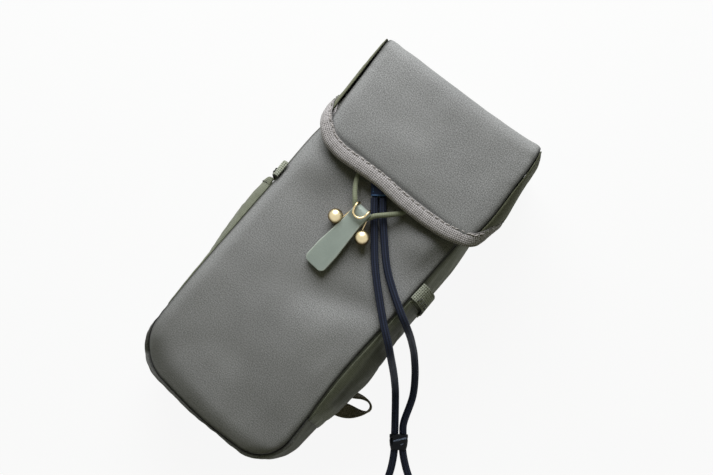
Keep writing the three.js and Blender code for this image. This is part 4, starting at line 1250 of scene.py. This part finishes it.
def binding_point(station, share):
    """A point of the folded tape's cross section, from its outer upper edge round the hem and inside."""
    edge, inward, outward, fold = station
    run = BINDING_WIDTH - fold
    way = share * (2 * run + math.pi * fold) - run
    if way < 0:
        flat = -way / run
        rise = fold - 1.0 - 0.55 * flat**2 + 0.4 * math.sin(math.pi * flat)
        return edge + inward * (fold - way) + outward * rise
    if way < math.pi * fold:
        angle = way / fold
        return edge + inward * fold * (1 - math.sin(angle)) + outward * (fold * math.cos(angle) - 1.0)
    return edge + inward * (way - math.pi * fold + fold) - outward * (fold + 1.0)


def hem_binding():
    """Grosgrain folded round the hem, with a row of stitches through it."""
    stations = hem_frames(1.1)
    last, long, width = len(stations) - 1, 330, 18

    def place(s, t):
        station = stations[round(s * last)]
        wave = 0.16 * ripple(s * long, t * 12, 5, 60) + 0.1 * ripple(s * long, 0, 2.9, 61)
        return binding_point(station, t) + station[2] * wave * (1 if t < 0.6 else 0)

    def shade(s, t):
        return 0.7 * fade(t * width, 0.6)

    mesh = grid(last, 26, place, (route_length([station[0] for station in stations]), width), shade)
    mesh.normal_update()
    centre = Vector((0, 60, 30))
    middles = [(face, face.calc_center_median()) for face in mesh.faces]
    if sum(face.normal.dot(middle - centre) for face, middle in middles if middle.z > 68) < 0:
        bmesh.ops.reverse_faces(mesh, faces=mesh.faces)
    piece("hem_binding", mesh, TAPE, "hood", "hood_binding", wall=0.5)
    on_front, on_sides = bmesh.new(), bmesh.new()
    edges = [binding_point(station, 0.055) for station in stations]
    pitch, length, thick, slant = 3.1, 2.5, 0.62, math.radians(9)
    count = round(route_length(edges) / pitch)
    for step in range(count):
        index = min(int((step + 0.5) / count * last), last - 1)
        way = (edges[index + 1] - edges[index]).normalized()
        outward = square_to(stations[index][2], way)
        way = Matrix.Rotation(slant if step % 2 else -slant, 3, outward) @ way
        # Stitches facing up take the pale thread; those on the sides take its darker copy, painted shade
        row, rise = (on_front, 0.28) if outward.z > 0.6 else (on_sides, 0.12)
        add_stitch(row, edges[index] + outward * rise, way, outward, length, thick)
    piece("hem_stitches_front", on_front, PALE_THREAD, "hood", levels=0)
    piece("hem_stitches_sides", on_sides, SHADED_THREAD, "hood", levels=0)


# Mouth, linings and padding
def mouth_tape():
    """Tape folded over the mouth's raw edges, on both sides and the front."""
    low, high = corners("mouth_binding")
    half, top, front, back = high.x - 0.4, high.y, high.z - 0.6, low.z
    thick, corner, edge, steps = 3.2, 4.0, 1.6, 6
    path = [(-half, z) for z in (back, 20, 35, front - corner - 6)]
    for step in range(steps + 1):
        angle = math.pi / 2 * step / steps
        path.append((-half + corner * (1 - math.cos(angle)), front - corner + corner * math.sin(angle)))
    path += [(-25, front), (-8, front), (0, front)]
    path += [(-x, z) for x, z in reversed(path[:-1])]
    line = route_points([Vector((x, top, z)) for x, z in path], 1.4)
    last = len(line) - 1

    def place(s, t):
        index = round(s * last)
        outward = Vector((0, 1, 0)).cross(heading(line, index))
        if outward.dot(line[index] - Vector((0, top, 25))) < 0:
            outward = -outward
        angle = mix(0, math.pi, min(max((t - 0.35) / 0.3, 0), 1))
        down = max(0.35 - t, t - 0.65, 0) / 0.35 * 6.0
        over = outward * thick * (math.cos(angle) - 1)
        return line[index] + over + Vector((0, edge * math.sin(angle) - edge - down, 0))

    mesh = sheet(last, 20, place, (route_length(line), 16), (0, top + 40, 20))
    piece("mouth_tape", mesh, TAPE, "root", "mouth_binding", wall=0.5)


def under(surface, x, y, depth):
    """A point straight in from a surface, at a depth under it."""
    across = surface(x + 1, y) - surface(x - 1, y)
    up = surface(x, y + 1) - surface(x, y - 1)
    return surface(x, y) - across.cross(up).normalized() * depth


def lining_sheets():
    """The compartment's lining: two faces and the strip between them, close under the foam."""
    inner = PATTERN - 5.4
    for node, surface, depth in (("front_lining", front_point, 4.8), ("back_lining", back_point, -4.8)):
        low, high = corners(node)

        def place(s, t):
            x, y = mix(-inner, inner, s), mix(low.y, high.y, t)
            wrinkle = 0.25 * abs(ripple(x, y, 16, 70)) * math.copysign(1, depth)
            return under(surface, x, y, depth + wrinkle)

        mesh = sheet(36, 70, place, (2 * inner, high.y - low.y), (0, 0, 30))
        piece(node + "_cloth", mesh, LINING, "root", node, wall=0.5)
    mesh = wall_sheet(150, 16, 0.0, AROUND, 0.045, 0.915, -4.5)
    piece("gusset_lining_cloth", mesh, LINING, "root", "gusset_lining", wall=0.5)


def foam_piece(node, mesh, thick, body="root"):
    """A foam sheet in the place of its node."""
    made = piece(node + "_sheet", mesh, FOAM, body, node, wall=thick, centred=True)
    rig.padded(made, fill=0.3)


def body_foam():
    """Foam under the cloth of the front, the back, both sides and the foot."""
    inset, thick = 3.2, 2.7
    inner = PATTERN - inset
    for node, surface, depth in (("front_foam", front_point, 2.5), ("back_foam", back_point, -2.5)):
        top = corners(node)[1].y

        def place(s, t):
            return under(surface, mix(-inner, inner, s), mix(FOOT + inset, top, t), depth)

        foam_piece(node, grid(36, 60, place, (2 * inner, top - FOOT)), thick)
    for side in (1, -1):
        node = "side_foam_" + SIDE_NAMES[side]
        low, high = corners(node)
        mesh = wall_sheet(60, 14, way_of(side, low.y), way_of(side, high.y), 0.08, 0.93, -2.5)
        foam_piece(node, mesh, thick)
    top = corners("base_foam")[1].y
    foam_piece("base_foam", wall_sheet(80, 14, way_of(1, top), way_of(-1, top), 0.08, 0.93, -2.6), thick)


def hood_foam():
    """Thinner foam under the hood's front and top."""
    inner = PATTERN - 3.0
    spans = {"hood_front_foam": (2.0, HOOD_RUN + 2.0), "hood_top_foam": (HOOD_RUN + 9.0, HOOD_LENGTH - 2.5)}
    for node, (start, end) in spans.items():

        def place(s, t):
            return under(hood_point, mix(-inner, inner, s), mix(start, end, t), 2.1)

        foam_piece(node, grid(36, 36, place, (2 * inner, end - start)), 1.9, "hood")


def hood_linings():
    """The hood's lining: one sheet over the front and both sides, and a cap under the top."""
    low, high = corners("hood_lining")
    half, front, back, top = high.x - 0.2, high.z - 0.1, low.z, high.y
    corner = 5.0
    side_run = front - corner - back
    bend = math.pi / 2 * corner
    total = 2 * side_run + 2 * bend + 2 * (half - corner)

    def section(way):
        """A point of the cross section from the left back edge round to the right one."""
        if way > total / 2:
            x, z = section(total - way)
            return -x, z
        if way < side_run:
            return -half, back + way
        if way < side_run + bend:
            angle = (way - side_run) / corner
            return -half + corner * (1 - math.cos(angle)), front - corner + corner * math.sin(angle)
        return -half + corner + (way - side_run - bend), front

    def fitted(x, y, z):
        """A lining point moved out to the hood's own side."""
        reach = abs(hood_side_x(1 if x > 0 else -1, y, min(z, 60))) - 3.0
        return Vector((x * reach / half, y, z))

    def place(s, t):
        x, z = section(s * total)
        round_off = math.sqrt(max(1 - ramp(half - 14, half, abs(x)), 0.0)) if z > front - 1 else 0.0
        y = mix(mix(along(SIDE_HEM, z) + 3, HEM + 3, ramp(0, 1, round_off)), top, t)
        return fitted(x, y, z - 0.3 * abs(ripple(x, y, 18, 80)))

    def cap(s, t):
        x, z = mix(-half + 1, half - 1, s), mix(back, front - 1, t)
        return fitted(x, top - 0.3 * abs(ripple(x, z, 20, 83)), z)

    mesh = sheet(110, 30, place, (total, 55), (0, 70, 30))
    piece("hood_lining_cloth", mesh, LINING, "hood", "hood_lining", wall=0.4)
    mesh = sheet(30, 22, cap, (2 * half, front - back), (0, 0, 30))
    piece("hood_lining_cap", mesh, LINING, "hood", wall=0.4)


def hinge_cloth():
    """The tape over the hood's back seam, which bends as the hood opens."""
    low, high = corners("hinge_tape")
    axis_y, axis_z = HOOD_TOP - 1.4, BACK + 0.5
    path = [(-12, 1.3), (-6, 1.2), (-1.5, 1.3), (-0.2, 2.6), (0, 6.0), (0.1, 11.0)]
    line = route_points([Vector((0, axis_y + y, BACK + z)) for y, z in path], 0.7)
    last = len(line) - 1

    def place(s, t):
        return line[round(t * last)] + Vector((mix(low.x, high.x, s), 0, 0))

    mesh = sheet(60, last, place, (high.x - low.x, route_length(line)), (0, axis_y + 30, -30))
    made = piece("hinge_cloth", mesh, TAPE, "root", "hinge_tape", wall=0.6, centred=True)
    made.parent = None
    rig.blend(
        made,
        "root",
        "hood",
        start=(0, (axis_y - 1.6) * MM, (axis_z - 1.6) * MM),
        end=(0, (axis_y + 1.2) * MM, (axis_z + 1.2) * MM),
    )


# Closure
def ball_rivets():
    """Ball-headed rivets: a shank through the panel, a collar for the hook's eye, a neck and a ball."""
    radius, steps = 3.7, 20
    for x, name in zip(RIVET_X, ("left", "right")):
        low, high = corners("ball_rivet_" + name)
        middle = high.z - 0.1 - radius
        profile = [(0.0, low.z), (1.2, low.z), (1.2, FRONT), (2.6, FRONT + 0.25), (2.7, FRONT + 0.5)]
        profile += [(1.6, FRONT + 0.75), (1.5, FRONT + 1.9)]
        for step in range(3, steps + 1):
            angle = -math.pi / 2 + math.pi * step / steps
            flatten = 0.97 if angle > 0 else 1.0
            profile.append((radius * math.cos(angle), middle + radius * flatten * math.sin(angle)))
        profile[-1] = (0.0, profile[-1][1])
        # Painted shade: the shade attribute rises from each ball's crown downwards, so the brass turns brown below it
        mesh = turned(profile, (x, RIVET_Y), 48, lambda z: 1 - ramp(middle + 0.5, middle + 3.0, z))
        piece("ball_stud_" + name, mesh, BRASS, "root", "ball_rivet_" + name, levels=0)


def hook_route():
    """Half of the hook, from its eye to the middle of its bow, and the same mirrored."""
    eye, half, steps = 2.35, (RIVET_X[1] - RIVET_X[0]) / 2, 12
    back = FRONT + 0.3 + WIRE_RADIUS
    front = corners("hook_wire")[1].z - WIRE_RADIUS + 0.15
    top = RIVET_Y + 12.4
    right = []
    for step in range(steps + 1):
        angle = math.radians(105 - 285 * step / steps)
        right.append((half + eye * math.cos(angle), RIVET_Y + eye * math.sin(angle), back))
    legs = [(half - 3.0, RIVET_Y + 3.5, 0.01), (4.4, RIVET_Y + 7.5, 0.06), (3.1, top - 2.5, 0.12)]
    legs += [(2.9, top - 1.2, 0.32), (3.2, top, 0.56), (3.5, top - 0.4, 0.84)]
    legs += [(3.6, top - 2.0, 1.0), (3.2, top - 4.5, 1.0), (1.9, top - 6.3, 1.0)]
    right += [(x, y, mix(back, front, lift)) for x, y, lift in legs]
    left = [(-x, y, z) for x, y, z in reversed(right)]
    return [Vector((x + HOOK_X, y, z)) for x, y, z in [*right, (0, top - 6.9, front), *left]]


def hook_wire():
    points = route_points(hook_route(), 0.28)
    total = route_length(points)

    def radius(angle, share):
        end = to_end(share) * total / WIRE_RADIUS
        return WIRE_RADIUS * math.sqrt(max(1 - max(1 - end, 0) ** 2, 0.02))

    piece("hook_bow", tube(points, 16, radius), WIRE_BRASS, "root", "hook_wire", levels=0)


def closure_elastic():
    """A round elastic from under the hem, round the tab's fold and back, stretching from hood to tab."""
    low, over, fold = 63.65, TAB_PLACE.z, 4.1
    tilt = fold * math.tan(TAB_TURN)
    points = [
        (-15.6, 49.6, low), (-15.2, 44.0, low), (-14.2, 37.4, low + 0.1),
        (-10.6, 31.2, over - 0.4), (-7.4, 27.4, over + 0.6),
        (TAB_PLACE.x - fold, TAB_PLACE.y - tilt, over), tuple(TAB_PLACE),
        (TAB_PLACE.x + fold, TAB_PLACE.y + tilt, over),
        (5.1, 27.2, over + 0.8), (8.3, 30.4, over + 0.6), (11.7, 34.0, over - 0.5),
        (14.2, 37.6, low + 0.3), (15.2, 44.0, low), (15.6, 49.6, low),
    ]
    mesh = tube(route_points(points, 0.5), 24, lambda angle, share: 1.25)
    made = piece("elastic_loop", mesh, ELASTIC, "closure", "closure_elastic", levels=0)
    made.parent = None
    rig.blend(
        made,
        "hood",
        "closure",
        start=(0, 47.0 * MM, over * MM),
        end=(0, 23.7 * MM, over * MM),
    )


def elastic_tabs():
    """Short tapes stitched over the elastic's ends, under the hood's lining."""
    for name in ("left", "right"):
        low, high = corners("elastic_anchor_" + name)
        middle = (low.x + high.x) / 2

        def place(s, t):
            x, y = mix(low.x, high.x, s), mix(low.y, high.y, t)
            return Vector((x, y, high.z - 0.9 - 0.9 * bell(x - middle, 1.6)))

        mesh = sheet(14, 14, place, (7, 7), (middle, (low.y + high.y) / 2, high.z + 20))
        piece("elastic_tape_" + name, mesh, TAPE, "hood", "elastic_anchor_" + name, wall=0.5)


def pull_tab():
    """A leather strip folded round the elastic, its two halves glued face to face, with a round foot."""
    length, foot_half, top_half, corner, roll_radius, meet = 35.0, 6.0, 4.5, 3.0, 2.1, 0.56
    straight = length - 3.2
    bend = math.pi * roll_radius
    total = 2 * straight + bend
    axes = Matrix.Rotation(TAB_TURN, 4, "Z") @ Matrix.Rotation(TAB_SLOPE, 4, "X")
    turn = Matrix.Translation(TAB_PLACE) @ axes

    def half_width(down):
        """Half the strip's width at a distance below the fold."""
        from_foot = length - down
        if from_foot < corner:
            return foot_half - corner + math.sqrt(max(corner**2 - (corner - from_foot) ** 2, 0.0))
        return mix(top_half, foot_half, min(max((down - 7) / 17.5, 0), 1))

    def layer(way):
        """How far down the strip a point lies, and its height above the strip's middle."""
        if straight <= way < straight + bend:
            angle = (way - straight) / roll_radius
            return -roll_radius * math.sin(angle), roll_radius * math.cos(angle)
        upper = way < straight
        down = length - way * length / straight if upper else (way - straight - bend) * length / straight
        height = mix(meet, roll_radius, ramp(6.0, 1.0, down))
        return down, height if upper else -height

    def place(s, t):
        down, height = layer(t * total)
        bow = 0.35 * math.sin(math.pi * min(max(down / length, 0), 1))
        return turn @ Vector(((2 * s - 1) * half_width(max(down, 0)), -down, height + bow))

    def shade(s, t):
        return fade(to_end(s) * 12, 0.45)

    mesh = sheet(22, 130, place, (12, total), TAB_PLACE + Vector((0, -2, 0)), shade)
    piece("tab_leather", mesh, LEATHER, "tab", "pull_tab", wall=1.05, centred=True)


# Webbing, pockets and loops
def strap(name, line, width, axis, finish, node, wall, columns, twist=None):
    """A flat strap along a line of points; its width lies along axis, turned by twist(share)."""
    last = len(line) - 1

    def place(s, t):
        index = round(t * last)
        way, across = heading(line, index), Vector(axis)
        if twist:
            across = Matrix.Rotation(twist(t), 3, way) @ across
        return line[index] + square_to(across, way) * ((s - 0.5) * width)

    def shade(s, t):
        return 0.35 * fade(to_end(s) * width, 0.7)

    mesh = grid(columns, last, place, (width, route_length(line)), shade)
    piece(name, mesh, finish, "root", node, wall=wall, centred=True)


def side_loops():
    """Webbing loops across the side strips: folded in at the front seam and bar-tacked along one edge."""
    for side, (width, upper) in SIDE_LOOPS.items():
        name = SIDE_NAMES[side]
        low = corners("side_loop_" + name)[0].z
        _, middle, bow = upper[-1]
        stations = [*upper, (34, middle - 0.3, bow - 0.8), (30, middle - 0.5, bow * 0.45)]
        stations.append((low, middle - 0.6, 0.9))
        stations += [(low - down, middle - 0.7, 0.75) for down in (3.0, 6.5)]

        def spot(z, y, out):
            way = way_of(side, y)
            depth = min(max((z - BACK - 0.5) / (FRONT - BACK - 1.5), 0.03), 0.985)
            point = wall_off(way, depth, out + (swell(way, depth) if out < 1.0 else 0.0))
            return Vector((point.x, y, z))

        line = route_points([spot(*station) for station in stations], 0.8)
        strap("side_strap_" + name, line, width, (0, 1, 0), WEBBING, "side_loop_" + name, 1.1, 14)
        tacks = bmesh.new()
        out_from = Vector((0, 0, 40))
        for edge, first, last in ((1.7, 3, 17), (3.2, 4, 15)):
            row = [point - Vector((0, width / 2 - edge, 0)) for point in line[first:last]]

            def outward(share):
                return (row[0].lerp(row[-1], share) - out_from) * Vector((1, 0, 1))

            stitch_row(tacks, row, outward, 1.9, 1.5, 0.7, -0.45, 0.9)
        piece("side_tacks_" + name, tacks, DARK_THREAD, "root", levels=0)


def pocket_point(side, y, share, above=0.0):
    """The stretch pocket: sewn down at both edges and its foot, slack at its mouth, full in its middle."""
    depth = mix(*POCKET_DEPTH, share)
    way = way_of(side, y)
    deep = depth * WALL_DEPTH
    reach = along(POCKET_REACH[side], y) - abs(wall_line(way, 0.5).x)
    slack = 1.1 * ripple(y * 0.5 + deep * 0.7, deep * 0.25, 10, 90 + side) + 0.4 * ripple(y, deep, 5, 92)
    valley = -bell(share - 0.84 - 0.0016 * (y + 40), 0.05) * ramp(-62, -45, y) * ramp(-8, -20, y)
    full = math.sin(math.pi * share) ** 0.62 * (reach + slack) + valley * (1 if side > 0 else 0.4)
    full *= ramp(POCKET_FOOT - 3, -60, y) ** 0.5
    low = max(fade(y - POCKET_FOOT, 3), fade((1 - share) * POCKET_SPAN, 1.2))
    sewn = swell(way, depth) + mix(0.8, 0.25, low)
    return wall_off(way, depth, -least(-full, -sewn, 0.35) + above)


def side_pockets():
    """A stretch pocket on each side, with gathered elastic tape and a row of stitches at its mouth."""
    for side in (1, -1):
        name, mouth = SIDE_NAMES[side], POCKET_MOUTH[side]
        length = mouth - POCKET_FOOT

        def place(s, t):
            return pocket_point(side, mix(POCKET_FOOT, mouth, s), t)

        def shade(s, t):
            # Painted shade: the right pocket darkens away from the front seam
            painted_shade = ramp(0.93, 0.82, t) * ramp(0.1, 0.2, s) if side > 0 else 0.0
            return 0.6 * fade(t * POCKET_SPAN, 0.8) + 0.9 * fade(s * length, 0.9) + 0.55 * painted_shade

        def hem(s, t):
            y = mix(mouth - 0.8, mouth + 3.6, s)
            gather = 0.14 * math.sin(t * 95 + 2 * ripple(t * 40, y, 4, 95))
            return pocket_point(side, y, t, 0.45 * math.sin(math.pi * s) ** 0.5 + gather * s)

        mesh = sheet(84, 36, place, (length, 42), (0, -30, 35), shade)
        piece("pocket_cloth_" + name, mesh, NYLON, "root", "side_pocket_" + name, wall=0.7)
        mesh = sheet(8, 60, hem, (4.5, 41), (0, mouth, 35))
        piece("pocket_hem_tape_" + name, mesh, HEM_ELASTIC, "root", "pocket_hem_" + name, wall=0.9)
        stitches = bmesh.new()
        row = [pocket_point(side, mouth - 0.2, mix(0.05, 0.95, step / 20), 0.42) for step in range(21)]
        stitch_row(stitches, row, lambda share: Vector((side, 0, 0.3)), 2.4, 1.8, 0.4, 0.22)
        piece("pocket_stitches_" + name, stitches, DARK_THREAD, "root", levels=0)


def belt_loop():
    """The wide strap on the back, sewn down at both ends with a box of stitches."""
    low, high = corners("belt_loop")
    flat, sewn = 0.6, high.z - 0.55
    half = [(0, sewn), (9, sewn), (13, high.z - 0.62), (18, flat), (23, flat)]
    path = [(low.y + way, z) for way, z in half] + [(0.0, flat)]
    path += [(high.y - way, z) for way, z in reversed(half)]
    line = route_points([Vector((0, y, z)) for y, z in path], 1.2)
    strap("belt_strap", line, high.x - low.x, (1, 0, 0), WEBBING, "belt_loop", 1.15, 28)
    stitches = bmesh.new()
    left, right, level = low.x + 2, high.x - 2, sewn - 0.62
    for start, end in ((low.y + 1.5, low.y + 10), (high.y - 10, high.y - 1.5)):
        box = [(left, start), (right, start), (right, end), (left, end), (left, start)]
        box += [(right, end), (right, start), (left, end)]
        for near, far in zip(box, box[1:]):
            ends = [Vector((*near, level)), Vector((*far, level))]
            stitch_row(stitches, ends, lambda share: -UP, 2.6, 2.0, 0.5)
    piece("belt_stitches", stitches, DARK_THREAD, "root", levels=0)


def pull_loop():
    """A narrow folded band out of the rear right seam, half a turn slack: one arm edge-on, one face-on."""
    low, high = corners("pull_loop")
    path = [
        (41.5, -44.6, -1.0), (45.0, -44.8, -0.8), (48.6, -44.0, 0.0), (52.8, -42.5, 0.8),
        (56.4, -42.2, 1.2), (58.6, -43.4, 1.4), (59.1, -45.4, 1.4), (57.9, -47.9, 1.3),
        (54.4, -50.8, 0.9), (49.5, -53.2, 0.2), (45.5, -54.6, -0.4), (41.5, -55.2, -1.0),
    ]
    line = route_points([Vector((x, y, (low.z + high.z) / 2 + rise)) for x, y, rise in path], 0.6)

    def twist(share):
        return math.radians(mix(32, 0, ramp(0.05, 0.42, share)) - 64 * ramp(0.46, 0.84, share))

    strap("pull_band", line, 8.8, UP, DARK_WEBBING, "pull_loop", 1.1, 10, twist)


def hook_backing():
    """The webbing patch and washers behind the front panel."""
    low, high = corners("hook_patch")
    middle = (low + high) / 2
    line = [Vector((mix(low.x, high.x, step / 30), middle.y, middle.z)) for step in range(31)]
    strap("patch_webbing", line, high.y - low.y, (0, 1, 0), WEBBING, "hook_patch", 0.8, 10)
    for name in ("rivet_washer_left", "rivet_washer_right"):
        node = frame["nodes"][name]
        node.data.materials.clear()
        node.data.materials.append(BRASS["material"])


# Light and floor
def set_key_light():
    """A large soft light above the hood's left."""
    where = Vector((-0.315, 0.405, 0.39))
    data = bpy.data.lights.new("key", "AREA")
    data.shape, data.size, data.energy = "DISK", 0.6, 6.8
    data.color = linear("#f6f8fb")[:3]
    lamp = bpy.data.objects.new("key", data)
    scene.collection.objects.link(lamp)
    lamp.location = where
    lamp.rotation_mode = "QUATERNION"
    lamp.rotation_quaternion = (-where).to_track_quat("-Z", "Y")


def white_seen(tree):
    """1 for what the camera, a mirror or clear plastic sees directly."""
    rays = add_node(tree, "LightPath", {}).node.outputs
    pair = {0: rays["Is Camera Ray"], 1: rays["Is Transmission Ray"]}
    direct = add_node(tree, "Math", pair, operation="MAXIMUM")
    return add_node(tree, "Math", {0: direct, 1: rays["Is Glossy Ray"]}, operation="MAXIMUM")


def set_world():
    """A dim, warm studio to light by, and plain white to look at."""
    world = bpy.data.worlds.new("studio")
    scene.world = world
    world.use_nodes = True
    tree = world.node_tree
    sky = tree.nodes["Background"]
    sky.inputs["Color"].default_value = linear("#d6d9a8")
    sky.inputs["Strength"].default_value = 0.14
    white = add_node(tree, "Background", {"Color": (1, 1, 1, 1), "Strength": 1.0})
    both = add_node(tree, "MixShader", {0: white_seen(tree), 1: sky.outputs[0], 2: white})
    tree.links.new(both, tree.nodes["World Output"].inputs["Surface"])


def set_floor():
    """A plain white floor, mostly its own white to the camera, that keeps part of the shadow."""
    mesh = bmesh.new()
    bmesh.ops.create_grid(mesh, x_segments=1, y_segments=1, size=4.0)
    bmesh.ops.translate(mesh, vec=(0, 0, -0.0004), verts=mesh.verts)
    data = bpy.data.meshes.new("floor")
    mesh.to_mesh(data)
    mesh.free()
    floor = bpy.data.objects.new("floor", data)
    scene.collection.objects.link(floor)
    material = bpy.data.materials.new("floor_paper")
    material.use_nodes = True
    tree = material.node_tree
    paper = tree.nodes["Principled BSDF"]
    paper.inputs["Base Color"].default_value = linear("#c8cac6")
    paper.inputs["Roughness"].default_value = 1.0
    paper.inputs["Specular IOR Level"].default_value = 0.0
    glow = add_node(tree, "Emission", {"Color": (1, 1, 1, 1), "Strength": 1.0})
    share = add_node(tree, "Math", {0: white_seen(tree), 1: 0.92}, operation="MULTIPLY")
    both = add_node(tree, "MixShader", {0: share, 1: paper.outputs[0], 2: glow})
    tree.links.new(both, tree.nodes["Material Output"].inputs["Surface"])
    data.materials.append(material)
    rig.stage(floor)


set_camera()
make_lanyard()
front_cloth()
back_cloth()
for side in (-1, 1):
    side_cloth(side)
    hood_side_cloth(side)
base_cloth()
hood_cloth()
hem_binding()
mouth_tape()
lining_sheets()
body_foam()
hood_foam()
hood_linings()
hinge_cloth()
ball_rivets()
hook_wire()
hook_backing()
closure_elastic()
elastic_tabs()
pull_tab()
side_loops()
side_pockets()
belt_loop()
pull_loop()
set_key_light()
set_world()
set_floor()

scene.view_settings.view_transform = "Standard"
boxes = {
    "cad": [list(corner) for corner in cad_box],
    "visual": [list(corner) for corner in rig.bounds()],
}
with open("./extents.json", "w") as file:
    json.dump(boxes, file)
